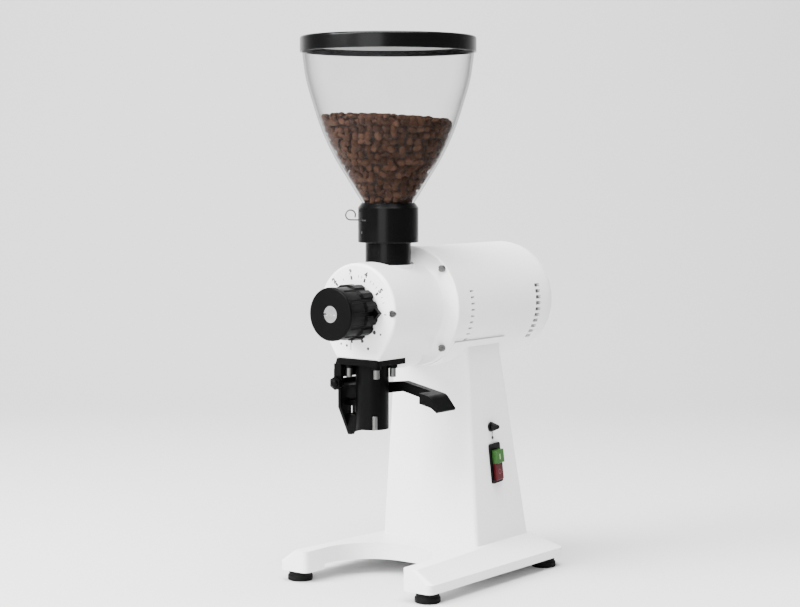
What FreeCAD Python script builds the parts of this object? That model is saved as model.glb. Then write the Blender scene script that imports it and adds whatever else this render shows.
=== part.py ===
import FreeCAD, Part
import math
import os
import Sketcher
from FreeCAD import Placement, Rotation, Vector

# Electric coffee grinder on a cast pedestal, in millimetres.
# +Z is up, the grinding knob faces -Y, the switches are on the +X wall of the
# column. The origin is on the table, under the middle of the machine.

os.makedirs("parts", exist_ok=True)
doc = FreeCAD.newDocument("coffee_grinder")

SIZES = {
    # whole machine
    "overall_height": 700.0,
    "axis_height": 355.3,
    "fit_gap": 0.05,
    "running_gap": 0.08,
    "seat_gap": 0.3,
    "overrun": 20.0,
    # rubber feet
    "foot_radius": 16.25,
    "foot_height": 14.0,
    "foot_waist": 14.6,
    "foot_tread": 6.5,
    "foot_edge": 1.6,
    "foot_inset_side": 19.7,
    "foot_inset_front": 19.6,
    "foot_inset_rear": 24.4,
    "foot_screw_radius": 3.0,
    "foot_screw_length": 22.0,
    "foot_well_radius": 6.5,
    "foot_well_depth": 6.0,
    "foot_screw_head": 5.2,
    "foot_screw_head_height": 3.0,
    # cast base and column
    "base_half_width": 123.0,
    "base_front_y": 159.5,
    "base_rear_y": 145.3,
    "base_front_corner": 9.0,
    "base_rear_corner": 16.0,
    "base_rim_top": 25.5,
    "base_top": 42.0,
    "relief_depth": 6.5,
    "relief_inset_side": 26.0,
    "relief_inset_front": 37.5,
    "relief_inset_rear": 45.3,
    "ridge_inset_front": 24.0,
    "ridge_inset_rear": 46.0,
    "ridge_rear_y": 129.0,
    "ridge_corner": 6.0,
    "arch_leg_width": 46.0,
    "arch_apex_y": 47.0,
    "arch_corner": 70.0,
    "arch_edge": 8.0,
    "column_foot_half": 78.0,
    "column_foot_front": 2.0,
    "column_foot_rear": 123.5,
    "column_foot_corner": 5.5,
    "column_top_half": 60.0,
    "column_top_front": 2.5,
    "column_top_rear": 82.0,
    "column_top_corner": 6.0,
    "column_rear_corner": 8.0,
    "column_top_drop": 60.5,
    "column_root": 30.0,
    "column_wall": 6.0,
    "cover_plate_thickness": 3.0,
    # switch, overload button and cable gland
    "switch_height": 145.5,
    "switch_y": 52.5,
    "switch_tilt": 4.0,
    "bezel_width": 23.5,
    "bezel_tall": 52.5,
    "bezel_thickness": 2.6,
    "bezel_corner": 2.5,
    "bezel_wall": 3.5,
    "bezel_cap": 8.0,
    "switch_depth": 26.0,
    "switch_body_inset": 2.0,
    "wall_slack": 0.8,
    "button_gap": 0.4,
    "on_button_tall": 17.5,
    "off_button_tall": 22.3,
    "on_button_proud": 8.0,
    "off_button_proud": 4.5,
    "button_root": 12.0,
    "button_edge": 1.0,
    "reset_rise": 22.0,
    "reset_y": 47.0,
    "reset_collar_radius": 6.6,
    "reset_collar_height": 2.5,
    "reset_stem_radius": 3.4,
    "reset_cone_radius": 5.8,
    "reset_tip_radius": 2.2,
    "reset_reach": 12.0,
    "reset_barrel_radius": 5.2,
    "reset_barrel_length": 20.0,
    "reset_travel": 1.2,
    "gland_height": 74.0,
    "gland_radius": 9.5,
    "gland_bore": 4.3,
    "gland_length": 15.0,
    "gland_thread_radius": 7.5,
    "gland_slack": 1.3,
    "gland_hex": 12.0,
    "gland_hex_height": 5.0,
    "capacitor_radius": 21.0,
    "capacitor_length": 92.0,
    "capacitor_y": 52.0,
    "cable_way_y": 20.0,
    "cable_way_radius": 5.5,
    # motor housing
    "motor_radius": 77.3,
    "motor_front_y": 32.0,
    "motor_rear_y": 202.5,
    "motor_wall": 5.0,
    "motor_rear_round": 36.0,
    "motor_floor": 9.0,
    "saddle_height": 40.0,
    "band_depth": 2.7,
    "band_drop": 44.3,
    "vent_front_y": 7.0,
    "vent_front_length": 8.0,
    "vent_front_width": 2.3,
    "vent_rear_y": 145.0,
    "vent_rear_length": 12.0,
    "vent_rear_width": 4.6,
    "vent_start_angle": 15.9,
    "vent_step_angle": 6.05,
    # motor inside
    "stator_bore": 38.0,
    "stator_front_y": 30.0,
    "stator_rear_y": 105.0,
    "winding_room": 10.3,
    "winding_bore": 44.0,
    "winding_overhang": 16.0,
    "rotor_gap": 0.6,
    "rotor_overhang": 6.0,
    "end_ring_radius": 33.0,
    "shaft_radius": 8.0,
    "shaft_nose_radius": 4.0,
    "shaft_nose_length": 2.0,
    "shaft_rear_y": 186.0,
    "bearing_radius": 20.0,
    "bearing_width": 12.0,
    "front_bearing_y": 20.0,
    "rear_bearing_y": 180.0,
    "bearing_land": 3.2,
    "bearing_recess": 1.0,
    "rear_hub_length": 20.0,
    "rear_hub_wall": 5.0,
    "fan_room": 10.3,
    "fan_y": 146.0,
    "fan_width": 14.0,
    "fan_hub_radius": 18.0,
    "fan_plate": 2.5,
    "fan_blade": 2.5,
    "shield_thickness": 12.0,
    "shield_hub_radius": 26.0,
    "shield_hub_length": 20.0,
    # grinding head
    "head_radius": 61.0,
    "head_front_y": 150.5,
    "head_bottom_drop": 60.3,
    "head_bottom_half": 33.0,
    "head_front_wall": 10.5,
    "head_bore": 53.0,
    "head_edge": 4.0,
    "flange_lip": 1.1,
    "flange_thickness": 9.0,
    "flange_flare": 15.0,
    "flange_edge": 4.5,
    "screw_head_radius": 4.4,
    "screw_head_height": 4.2,
    "screw_shank_radius": 2.5,
    "screw_shank_length": 8.0,
    "screw_slot": 1.3,
    "screw_proud": 1.2,
    "face_screw_reach": 56.5,
    "belly_radius": 24.0,
    "belly_rear_y": 36.0,
    "belly_front_y": 90.5,
    "belly_drop": 54.0,
    "belly_round": 12.0,
    "boss_radius": 33.5,
    "boss_rise": 56.7,
    # burrs and feed
    "feed_front_y": 108.0,
    "feed_wall_y": 58.0,
    "feed_bore": 19.5,
    "inlet_radius": 21.0,
    "burr_radius": 49.0,
    "burr_bore": 22.0,
    "burr_thickness": 8.0,
    "burr_gap": 0.8,
    "burr_tooth_depth": 2.2,
    "burr_tooth_width": 5.0,
    "burr_throat": 33.0,
    "hub_thickness": 6.2,
    "hub_radius": 47.0,
    "auger_radius": 18.0,
    "auger_core": 11.0,
    "auger_front_y": 107.0,
    "auger_rear_y": 62.0,
    "auger_pitch": 22.5,
    "auger_rib": 4.0,
    "auger_rib_root": 0.5,
    "cup_radius": 13.0,
    "cup_room": 1.4,
    "cup_web": 1.4,
    "spindle_radius": 6.0,
    "spindle_reach": 4.0,
    # knob and dial
    "knob_front_y": 202.5,
    "knob_radius": 33.3,
    "knob_disc": 6.5,
    "knob_bevel": 2.0,
    "grip_radius": 32.6,
    "grip_length": 22.0,
    "flute_radius": 3.0,
    "flute_reach": 34.2,
    "skirt_radius": 35.6,
    "skirt_chamfer": 3.0,
    "knob_face_gap": 1.2,
    "pointer_tip": 41.0,
    "pointer_half": 6.2,
    "pointer_root": 28.0,
    "pointer_thick": 6.0,
    "knob_screw_radius": 10.4,
    "knob_screw_height": 4.0,
    "knob_screw_recess": 0.5,
    "knob_screw_slot": 1.8,
    # hopper stack
    "hopper_y": 86.0,
    "neck_radius": 29.2,
    "neck_bore": 21.0,
    "neck_seat_rise": 49.0,
    "collar_radius": 38.6,
    "collar_bevel": 6.0,
    "collar_bevel_width": 4.2,
    "collar_mouth": 3.4,
    "collar_edge": 1.2,
    "collar_neck_seat": 14.0,
    "collar_seat_radius": 25.6,
    "collar_screw_angle": 23.0,
    "collar_screw_radius": 1.8,
    "shutter_angle": 52.0,
    "shutter_thickness": 1.6,
    "shutter_half_width": 26.0,
    "shutter_inner": 29.0,
    "shutter_inner_corner": 14.0,
    "shutter_front": 33.0,
    "shutter_front_corner": 10.0,
    "shutter_outer": 44.0,
    "shutter_tab_half": 5.0,
    "curl_reach": 48.0,
    "curl_radius": 6.2,
    "curl_wire": 0.95,
    "curl_sweep": 300.0,
    "hopper_neck_radius": 30.0,
    "hopper_wall": 2.8,
    "hopper_knee_radius": 80.5,
    "hopper_bend_radius": 104.5,
    "hopper_rim_radius": 108.5,
    "lid_radius": 111.7,
    "lid_band": 19.5,
    "lid_wall": 2.6,
    "lid_plate": 3.6,
    "lid_round": 3.0,
    "lid_skirt_drop": 9.0,
    "lid_skirt_wall": 2.0,
    "bean_crown": 9.0,
    # spout, bag clamp and shaker lever
    "spout_y": 119.0,
    "spout_radius": 21.1,
    "spout_bore": 16.6,
    "spout_bottom_drop": 150.3,
    "spout_plate_half": 33.0,
    "spout_plate_rear_y": 90.5,
    "spout_plate": 7.5,
    "spout_plate_corner": 4.0,
    "spout_boss_radius": 6.0,
    "spout_boss_height": 5.0,
    "spout_screw_x": 22.0,
    "spout_screw_front_y": 138.5,
    "spout_screw_rear_y": 105.0,
    "cap_screw_radius": 4.1,
    "cap_screw_height": 11.5,
    "cap_screw_edge": 0.6,
    "cap_screw_socket": 2.4,
    "cap_screw_socket_depth": 4.0,
    "cap_screw_shank": 2.5,
    "cap_screw_grip": 18.0,
    "spout_pin_radius": 3.4,
    "spout_pin_length": 17.0,
    "spout_pin_lift": 0.2,
    "spout_pin_low": 0.8,
    "spout_pin_angle": 47.0,
    "clamp_x": 31.5,
    "clamp_drop": 91.8,
    "clamp_pin_radius": 2.5,
    "clamp_ear_half": 6.5,
    "clamp_ear_inner": 5.0,
    "clamp_ear_thick": 5.0,
    "clamp_web": 4.0,
    "clamp_front_y": 149.5,
    "clamp_rear_y": 100.0,
    "clamp_nut_radius": 8.6,
    "clamp_nut_length": 6.0,
    "clamp_dome_radius": 5.6,
    "clamp_dome_height": 4.0,
    "clamp_dome_round": 3.8,
    "clamp_pin_rear_y": 90.5,
    "clamp_barrel_radius": 5.6,
    "clamp_plate": 4.0,
    "clamp_knee_drop": 123.3,
    "clamp_tip_drop": 160.8,
    "clamp_tip_front_y": 124.5,
    "clamp_tip_rear_y": 116.0,
    "clamp_tip_round": 2.0,
    "clamp_jaw_low_drop": 155.3,
    "clamp_jaw_high_drop": 134.3,
    "clamp_rib_low_drop": 122.3,
    "clamp_rib_high_drop": 115.3,
    "clamp_window_half": 3.2,
    "clamp_jaw_half": 11.0,
    "clamp_jaw_gap": 0.4,
    "spring_coil_radius": 4.6,
    "spring_wire": 0.6,
    "spring_pitch": 1.7,
    "lever_pivot_face_y": 97.4,
    "lever_drop": 102.3,
    "lever_arm_thick": 12.0,
    "lever_eye_radius": 7.5,
    "lever_pin_radius": 2.5,
    "lever_elbow_x": 32.0,
    "lever_elbow_rise": 12.0,
    "lever_elbow_round": 8.0,
    "lever_bend_x": 92.0,
    "lever_bend_drop": 0.5,
    "lever_bend_round": 12.0,
    "lever_tip_x": 106.0,
    "lever_tip_drop": 17.5,
    "lever_lip_x": 104.0,
    "lever_lip_drop": 20.7,
    "lever_under_x": 95.0,
    "lever_under_drop": 14.7,
    "lever_paddle_x": 76.5,
    "lever_paddle_reach": 24.9,
    "lever_edge": 1.5,
    "lever_boss_depth": 3.6,
    "lever_head_radius": 5.0,
    "lever_head_height": 3.5,
}

sheet = doc.addObject("Spreadsheet::Sheet", "Sizes")
for row, (alias, number) in enumerate(SIZES.items(), start=1):
    sheet.set("A%d" % row, alias)
    sheet.set("B%d" % row, str(number))
    sheet.setAlias("B%d" % row, alias)
doc.recompute()


class Size:
    """A length with its number now and its formula over the sheet."""

    def __init__(self, value, text):
        self.value = value
        self.text = text

    def _with(self, other, sign, flip=False):
        if not isinstance(other, Size):
            other = Size(float(other), repr(float(other)))
        a, b = (other, self) if flip else (self, other)
        number = {
            "+": lambda: a.value + b.value,
            "-": lambda: a.value - b.value,
            "*": lambda: a.value * b.value,
            "/": lambda: a.value / b.value,
        }[sign]()
        return Size(number, "(%s %s %s)" % (a.text, sign, b.text))

    def __add__(self, other):
        return self._with(other, "+")

    def __radd__(self, other):
        return self._with(other, "+", True)

    def __sub__(self, other):
        return self._with(other, "-")

    def __rsub__(self, other):
        return self._with(other, "-", True)

    def __mul__(self, other):
        return self._with(other, "*")

    def __rmul__(self, other):
        return self._with(other, "*", True)

    def __truediv__(self, other):
        return self._with(other, "/")

    def __neg__(self):
        return self * -1


def root(size):
    return Size(math.sqrt(size.value), "sqrt(%s)" % size.text)


def slope_angle(rise, run):
    """Angle in degrees of a slope given by two lengths."""
    ratio = rise / run
    return Size(math.degrees(math.atan(ratio.value)), "(atan(%s) / 1 deg)" % ratio.text)


class Named:
    """Gives each named length of the sheet as an attribute."""

    def __getattr__(self, alias):
        return Size(SIZES[alias], "Sizes." + alias)


s = Named()

# heights that follow the axis of the motor
column_top = s.axis_height - s.column_top_drop
spout_bottom = s.axis_height - s.spout_bottom_drop
clamp_z = s.axis_height - s.clamp_drop
clamp_knee_z = s.axis_height - s.clamp_knee_drop
clamp_tip_z = s.axis_height - s.clamp_tip_drop
clamp_jaw_low = s.axis_height - s.clamp_jaw_low_drop
clamp_jaw_high = s.axis_height - s.clamp_jaw_high_drop
clamp_rib_low = s.axis_height - s.clamp_rib_low_drop
clamp_rib_high = s.axis_height - s.clamp_rib_high_drop
lever_z = s.axis_height - s.lever_drop

# radii that follow the shell of the motor
band_radius = s.motor_radius + s.band_depth
flange_radius = s.motor_radius + s.flange_lip
motor_inner = s.motor_radius - s.motor_wall
winding_radius = motor_inner - s.winding_room
fan_radius = motor_inner - s.fan_room
flange_screw_across_share = 0.6824
flange_screw_up_share = 0.6505

# heights of the hopper stack, as shares of the way from the neck's seat to the top
neck_bottom = s.axis_height + s.neck_seat_rise
stack = s.overall_height - neck_bottom
stack_shares = {
    "neck_top": 0.1207, "collar_screw": 0.1647, "shutter": 0.2171, "hopper_foot": 0.2290,
    "flare": 0.2729, "collar_top": 0.2898, "knee": 0.5468, "beans": 0.6449,
    "bend": 0.8140, "shoulder": 0.9188,
}
level = {name: neck_bottom + stack * share for name, share in stack_shares.items()}
knee_round_share = 1.0145
bend_round_share = 0.55
knee_round = stack * knee_round_share
bend_round = stack * bend_round_share


def num(size):
    return size.value if isinstance(size, Size) else float(size)


def bind(thing, prop, size):
    """Set a property from a size and keep it tied to the sheet."""
    if isinstance(size, Size):
        if "." not in prop and "[" not in prop:
            setattr(thing, prop, size.value)
        thing.setExpression(prop, size.text)
    else:
        setattr(thing, prop, size)


def place(thing, x=0, y=0, z=0, axis=(0, 0, 1), angle=0):
    thing.Placement = Placement(
        Vector(num(x), num(y), num(z)), Rotation(Vector(*axis), num(angle))
    )
    for letter, size in (("x", x), ("y", y), ("z", z)):
        if isinstance(size, Size):
            thing.setExpression("Placement.Base." + letter, size.text)
    if isinstance(angle, Size):
        thing.setExpression("Placement.Rotation.Angle", angle.text)


pieces = []


def new_body(label):
    body = doc.addObject("PartDesign::Body", label + "_body")
    body.Label = label
    pieces.append(body)
    return body


def origin_of(body, role):
    return [f for f in body.Origin.OriginFeatures if f.Role == role][0]


def new_sketch(body, role, offset=None, turn=None, hinge=(1, 0, 0)):
    """A sketch on one of the body's own planes, moved off it or turned about a hinge."""
    sketch = body.newObject("Sketcher::SketchObject", "Sketch")
    sketch.AttachmentSupport = [(origin_of(body, role), "")]
    sketch.MapMode = "FlatFace"
    lift = num(offset) if offset is not None else 0
    spin = num(turn) if turn is not None else 0
    sketch.AttachmentOffset = Placement(Vector(0, 0, lift), Rotation(Vector(*hinge), spin))
    if isinstance(offset, Size):
        sketch.setExpression("AttachmentOffset.Base.z", offset.text)
    if isinstance(turn, Size):
        sketch.setExpression("AttachmentOffset.Rotation.Angle", turn.text)
    return sketch


def pin_point(sketch, rules, ties, geo, end, x, y):
    """Hold one sketch point at x, y measured from the sketch origin."""
    for kind, size, line in (("DistanceX", x, -2), ("DistanceY", y, -1)):
        if not isinstance(size, Size) and size == 0:
            rules.append(Sketcher.Constraint("PointOnObject", geo, end, line))
        else:
            rules.append(Sketcher.Constraint(kind, -1, 1, geo, end, num(size)))
            ties.append((len(rules) - 1, size))


def finish_sketch(sketch, rules, ties):
    start = len(sketch.Constraints)
    sketch.addConstraint(rules)
    for index, size in ties:
        if isinstance(size, Size):
            sketch.setExpression("Constraints[%d]" % (start + index), size.text)


def outline(sketch, corners):
    """Closed outline through corners (x, y) or (x, y, radius)."""
    count = len(corners)
    at = [Vector(num(c[0]), num(c[1]), 0) for c in corners]
    radius = [num(c[2]) if len(c) > 2 else 0 for c in corners]
    entry, leave, middle, left = [], [], [], []
    for i in range(count):
        back = (at[i - 1] - at[i]).normalize()
        ahead = (at[(i + 1) % count] - at[i]).normalize()
        half = back.getAngle(ahead) / 2
        reach = radius[i] / math.tan(half)
        entry.append(at[i] + back * reach)
        leave.append(at[i] + ahead * reach)
        mid = back + ahead
        middle.append(at[i] + mid.normalize() * (radius[i] / math.sin(half)) if radius[i] else at[i])
        left.append((back.cross(ahead)).z < 0)
    lines = [
        sketch.addGeometry(Part.LineSegment(leave[i], entry[(i + 1) % count]))
        for i in range(count)
    ]
    rules, ties = [], []
    for i in range(count):
        before, after = lines[i - 1], lines[i]
        if not radius[i]:
            rules.append(Sketcher.Constraint("Coincident", before, 2, after, 1))
            pin_point(sketch, rules, ties, after, 1, corners[i][0], corners[i][1])
            continue
        ends = (entry[i], leave[i]) if left[i] else (leave[i], entry[i])
        angles = [math.atan2(e.y - middle[i].y, e.x - middle[i].x) for e in ends]
        ring = Part.Circle(middle[i], Vector(0, 0, 1), radius[i])
        arc = sketch.addGeometry(Part.ArcOfCircle(ring, angles[0], angles[1]))
        tip = sketch.addGeometry(Part.Point(at[i]), True)
        first, second = (1, 2) if left[i] else (2, 1)
        rules.append(Sketcher.Constraint("Tangent", before, 2, arc, first))
        rules.append(Sketcher.Constraint("Tangent", arc, second, after, 1))
        rules.append(Sketcher.Constraint("PointOnObject", tip, 1, before))
        rules.append(Sketcher.Constraint("PointOnObject", tip, 1, after))
        rules.append(Sketcher.Constraint("Radius", arc, radius[i]))
        ties.append((len(rules) - 1, corners[i][2]))
        pin_point(sketch, rules, ties, tip, 1, corners[i][0], corners[i][1])
    finish_sketch(sketch, rules, ties)


def circle(sketch, x, y, radius):
    ring = sketch.addGeometry(Part.Circle(Vector(num(x), num(y), 0), Vector(0, 0, 1), num(radius)))
    rules, ties = [], []
    pin_point(sketch, rules, ties, ring, 3, x, y)
    rules.append(Sketcher.Constraint("Radius", ring, num(radius)))
    ties.append((len(rules) - 1, radius))
    finish_sketch(sketch, rules, ties)


def feature(body, kind, sketch=None, length=None, reverse=False, midplane=False):
    made = body.newObject("PartDesign::" + kind, kind)
    if sketch is not None:
        made.Profile = sketch
        sketch.Visibility = False
    if length is not None:
        bind(made, "Length", length)
    if reverse:
        made.Reversed = True
    if midplane:
        made.Midplane = True
    return made


def turn(body, sketch, kind="Revolution", axis="V_Axis"):
    made = feature(body, kind, sketch)
    made.ReferenceAxis = (sketch, [axis])
    made.Angle = 360.0
    return made


def loft(body, kind, sections):
    made = feature(body, kind, sections[0])
    made.Sections = sections[1:]
    made.Ruled = True
    return made


def polar(body, originals, role, count, angle=360.0, reverse=False):
    made = body.newObject("PartDesign::PolarPattern", "PolarPattern")
    made.Originals = originals
    made.Axis = (origin_of(body, role), [""])
    made.Occurrences = count
    bind(made, "Angle", angle)
    made.Reversed = reverse
    body.Tip = made
    return made


def mirrored(body, originals, role):
    made = body.newObject("PartDesign::Mirrored", "Mirrored")
    made.Originals = originals
    made.MirrorPlane = (origin_of(body, role), [""])
    body.Tip = made
    return made


def edges_where(solid, test):
    """Names of the edges whose box passes the test."""
    return ["Edge%d" % (i + 1) for i, e in enumerate(solid.Shape.Edges) if test(e.BoundBox, e)]


def dress(body, kind, test, size):
    """Fillet or chamfer the edges of the body's last feature that pass the test."""
    doc.recompute()
    last = body.Tip
    made = body.newObject("PartDesign::" + kind, kind)
    made.Base = (last, edges_where(last, test))
    bind(made, "Radius" if kind == "Fillet" else "Size", size)
    return made


def turned(label, corners, about="Z", **where):
    """A piece turned about its Z axis from (radius, height) corners, or about its
    Y axis from (along, radius) corners."""
    body = new_body(label)
    flat = "XZ_Plane" if about == "Z" else "YZ_Plane"
    sketch = new_sketch(body, flat)
    outline(sketch, corners)
    turn(body, sketch, axis="V_Axis" if about == "Z" else "H_Axis")
    place(body, **where)
    return body


def ring_pocket(body, role, x, y, radius, length, offset=None, reverse=False):
    sketch = new_sketch(body, role, offset)
    circle(sketch, x, y, radius)
    return feature(body, "Pocket", sketch, length, reverse)


def slot_screw(label, head, head_height, shank, shank_length, slot, **where):
    """Screw with a slotted head, head up along its own +Z, seat at zero."""
    body = new_body(label)
    sketch = new_sketch(body, "XZ_Plane")
    outline(sketch, [
        (0, -shank_length), (shank, -shank_length), (shank, 0),
        (head, 0), (head, head_height), (0, head_height),
    ])
    turn(body, sketch)
    cut = new_sketch(body, "XY_Plane", head_height)
    outline(cut, [
        (-head, -slot / 2), (head, -slot / 2), (head, slot / 2), (-head, slot / 2),
    ])
    feature(body, "Pocket", cut, slot)
    place(body, **where)
    return body


# rubber feet, one under each corner of the base
foot_x = s.base_half_width - s.foot_inset_side
foot_front = s.foot_inset_front - s.base_front_y
foot_rear = s.base_rear_y - s.foot_inset_rear
foot_places = {
    "foot_front_left": (-foot_x, foot_front),
    "foot_front_right": (foot_x, foot_front),
    "foot_rear_left": (-foot_x, foot_rear),
    "foot_rear_right": (foot_x, foot_rear),
}
for label, (foot_x, foot_y) in foot_places.items():
    turned(label, [
        (s.foot_well_radius, 0),
        (s.foot_radius, 0, s.foot_edge),
        (s.foot_radius, s.foot_tread, s.foot_edge),
        (s.foot_waist, s.foot_tread + s.foot_edge),
        (s.foot_waist, s.foot_height),
        (s.foot_screw_radius + s.fit_gap, s.foot_height),
        (s.foot_screw_radius + s.fit_gap, s.foot_well_depth),
        (s.foot_well_radius, s.foot_well_depth),
    ], x=foot_x, y=foot_y)
    slot_screw(
        label.replace("foot", "foot_screw"), s.foot_screw_head, s.foot_screw_head_height,
        s.foot_screw_radius, s.foot_screw_length, s.screw_slot,
        x=foot_x, y=foot_y, z=s.foot_well_depth, axis=(1, 0, 0), angle=180,
    )

# cast base with its arch and the tapered hollow column in one piece
base = new_body("base_pedestal")


def base_rim(offset):
    sketch = new_sketch(base, "XY_Plane", offset)
    outline(sketch, [
        (-s.base_half_width, -s.base_front_y, s.base_front_corner),
        (s.base_half_width, -s.base_front_y, s.base_front_corner),
        (s.base_half_width, s.base_rear_y, s.base_rear_corner),
        (-s.base_half_width, s.base_rear_y, s.base_rear_corner),
    ])
    return sketch


feature(base, "Pad", base_rim(s.foot_height), s.base_rim_top - s.foot_height)
ridge_front = s.base_half_width - s.ridge_inset_front
ridge_rear = s.base_half_width - s.ridge_inset_rear
ridge = new_sketch(base, "XY_Plane", s.base_top)
outline(ridge, [
    (-ridge_front, -s.base_front_y, s.ridge_corner),
    (ridge_front, -s.base_front_y, s.ridge_corner),
    (ridge_rear, s.ridge_rear_y, s.ridge_corner),
    (-ridge_rear, s.ridge_rear_y, s.ridge_corner),
])
loft(base, "AdditiveLoft", [base_rim(s.base_rim_top), ridge])
arch_half = s.base_half_width - s.arch_leg_width
arch = new_sketch(base, "XY_Plane")
outline(arch, [
    (-arch_half, -s.base_front_y - s.overrun),
    (arch_half, -s.base_front_y - s.overrun),
    (arch_half, -s.arch_apex_y, s.arch_corner),
    (-arch_half, -s.arch_apex_y, s.arch_corner),
])
feature(base, "Pocket", arch, s.base_top + s.overrun, reverse=True)
dress(base, "Fillet", lambda box, e: (
    box.XMax - box.XMin < num(s.fit_gap) and box.YMax - box.YMin < num(s.fit_gap)
    and box.YMax < num(s.fit_gap - s.base_front_y)
    and abs(abs(box.XMax) - num(arch_half)) < num(s.fit_gap)), s.arch_edge)
# shallow relief underneath, between the pads that the feet are screwed to
relief = new_sketch(base, "XY_Plane", s.foot_height - s.fit_gap)
relief_half = s.base_half_width - s.relief_inset_side
outline(relief, [
    (-relief_half, s.relief_inset_front - s.base_front_y),
    (relief_half, s.relief_inset_front - s.base_front_y),
    (relief_half, s.base_rear_y - s.relief_inset_rear),
    (-relief_half, s.base_rear_y - s.relief_inset_rear),
])
feature(base, "Pocket", relief, s.relief_depth + s.fit_gap, reverse=True)


def column_corners(height, inset=0):
    """Plan of the column at a height, by straight taper from foot to top."""
    share = (height - s.base_top) / (column_top - s.base_top)

    def between(foot, top):
        return foot + (top - foot) * share

    half = between(s.column_foot_half, s.column_top_half) - inset
    front = between(s.column_foot_front, s.column_top_front) + inset
    rear = between(s.column_foot_rear, s.column_top_rear) - inset
    corner = between(s.column_foot_corner, s.column_top_corner)
    rear_corner = s.column_rear_corner - inset / 2
    if num(inset):
        corner = corner / 2
    return [
        (-half, front, corner), (half, front, corner),
        (half, rear, rear_corner), (-half, rear, rear_corner),
    ]


def column_section(height, inset=0):
    sketch = new_sketch(base, "XY_Plane", height)
    outline(sketch, column_corners(height, inset))
    return sketch


loft(base, "AdditiveLoft", [column_section(s.column_root), column_section(column_top)])
loft(base, "SubtractiveLoft", [
    column_section(s.foot_height - s.fit_gap, s.column_wall),
    column_section(column_top - s.column_wall, s.column_wall),
])
# trough in the column's top that the belly of the motor lies in
trough = new_sketch(base, "YZ_Plane")
trough_radius = band_radius + s.fit_gap
outline(trough, [
    (-s.overrun, s.axis_height),
    (-s.overrun, s.axis_height + trough_radius),
    (s.column_top_rear + s.overrun, s.axis_height + trough_radius),
    (s.column_top_rear + s.overrun, s.axis_height),
])
trough_axis = trough.addGeometry(Part.LineSegment(
    Vector(-num(s.overrun), num(s.axis_height), 0), Vector(num(s.overrun), num(s.axis_height), 0)), True)
rules, ties = [], []
pin_point(trough, rules, ties, trough_axis, 1, -s.overrun, s.axis_height)
pin_point(trough, rules, ties, trough_axis, 2, s.overrun, s.axis_height)
finish_sketch(trough, rules, ties)
turn(base, trough, "Groove", "Axis0")
# openings for the switch, the overload button and the cable gland
wall_lean = slope_angle(s.column_foot_half - s.column_top_half, column_top - s.base_top)


def wall_x(height):
    """Distance of the column's side wall from the middle at a height."""
    fall = (s.column_foot_half - s.column_top_half) / (column_top - s.base_top)
    return s.column_foot_half - (height - s.base_top) * fall


switch_x = wall_x(s.switch_height)
reset_height = s.switch_height + s.bezel_tall / 2 + s.reset_rise
reset_x = wall_x(reset_height)
hole = new_sketch(base, "YZ_Plane", turn=s.switch_tilt, hinge=(0, 0, 1))
hole.AttachmentOffset = Placement(
    Vector(num(s.switch_y), num(s.switch_height), 0), hole.AttachmentOffset.Rotation)
hole.setExpression("AttachmentOffset.Base.x", s.switch_y.text)
hole.setExpression("AttachmentOffset.Base.y", s.switch_height.text)
inner_half = s.bezel_width / 2 - s.switch_body_inset + s.wall_slack
inner_tall = s.bezel_tall / 2 - s.switch_body_inset + s.wall_slack
outline(hole, [
    (-inner_half, -inner_tall), (inner_half, -inner_tall),
    (inner_half, inner_tall), (-inner_half, inner_tall),
])
feature(base, "Pocket", hole, s.base_half_width, reverse=True)
ring_pocket(base, "YZ_Plane", s.reset_y, reset_height,
            s.reset_barrel_radius + s.wall_slack, s.base_half_width, reverse=True)
ring_pocket(base, "XZ_Plane", 0, s.gland_height, s.gland_thread_radius + s.gland_slack,
            s.base_rear_y, -s.capacitor_y)
for foot_x, foot_y in foot_places.values():
    ring_pocket(base, "XY_Plane", foot_x, foot_y, s.foot_screw_radius + s.fit_gap,
                s.foot_screw_length + s.foot_well_depth - s.foot_height + s.seat_gap,
                s.foot_height - s.fit_gap, reverse=True)

# steel plate that closes the column from below
plate = new_body("base_cover_plate")
plate_seat = s.foot_height + s.relief_depth + s.seat_gap
plate_outline = new_sketch(plate, "XY_Plane", plate_seat)
outline(plate_outline, column_corners(
    plate_seat + s.cover_plate_thickness, s.column_wall + s.seat_gap))
feature(plate, "Pad", plate_outline, s.cover_plate_thickness)

# start capacitor on a stud under the belly of the motor, in the hollow of the column
capacitor_top = s.axis_height - band_radius - s.fit_gap
turned("start_capacitor", [
    (0, 0),
    (s.capacitor_radius, 0, s.foot_edge),
    (s.capacitor_radius, s.capacitor_length),
    (0, s.capacitor_length),
], y=s.capacitor_y, z=capacitor_top - s.capacitor_length)

# switch: a bezel with its box in the wall and two push buttons, square to the wall
switch_seat = {
    "x": switch_x + s.fit_gap, "y": s.switch_y, "z": s.switch_height,
    "axis": (0, -1, 0), "angle": wall_lean,
}
bezel = new_body("switch_bezel")


def switch_plate(body, inset, offset=0, corner=0):
    half = s.bezel_width / 2 - inset
    tall = s.bezel_tall / 2 - inset
    sketch = new_sketch(body, "YZ_Plane", offset, s.switch_tilt, (0, 0, 1))
    outline(sketch, [
        (-half, -tall, corner), (half, -tall, corner), (half, tall, corner), (-half, tall, corner),
    ])
    return sketch


feature(bezel, "Pad", switch_plate(bezel, 0, corner=s.bezel_corner), s.bezel_thickness)
feature(bezel, "Pad", switch_plate(bezel, s.switch_body_inset), s.switch_depth, reverse=True)
window = new_sketch(bezel, "YZ_Plane", s.bezel_thickness, s.switch_tilt, (0, 0, 1))
window_half = s.bezel_width / 2 - s.bezel_wall
window_low = s.bezel_wall - s.bezel_tall / 2
window_high = s.bezel_tall / 2 - s.bezel_cap
outline(window, [
    (-window_half, window_low), (window_half, window_low),
    (window_half, window_high), (-window_half, window_high),
])
feature(bezel, "Pocket", window, s.bezel_thickness + s.switch_depth - s.bezel_wall)
place(bezel, **switch_seat)

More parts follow.
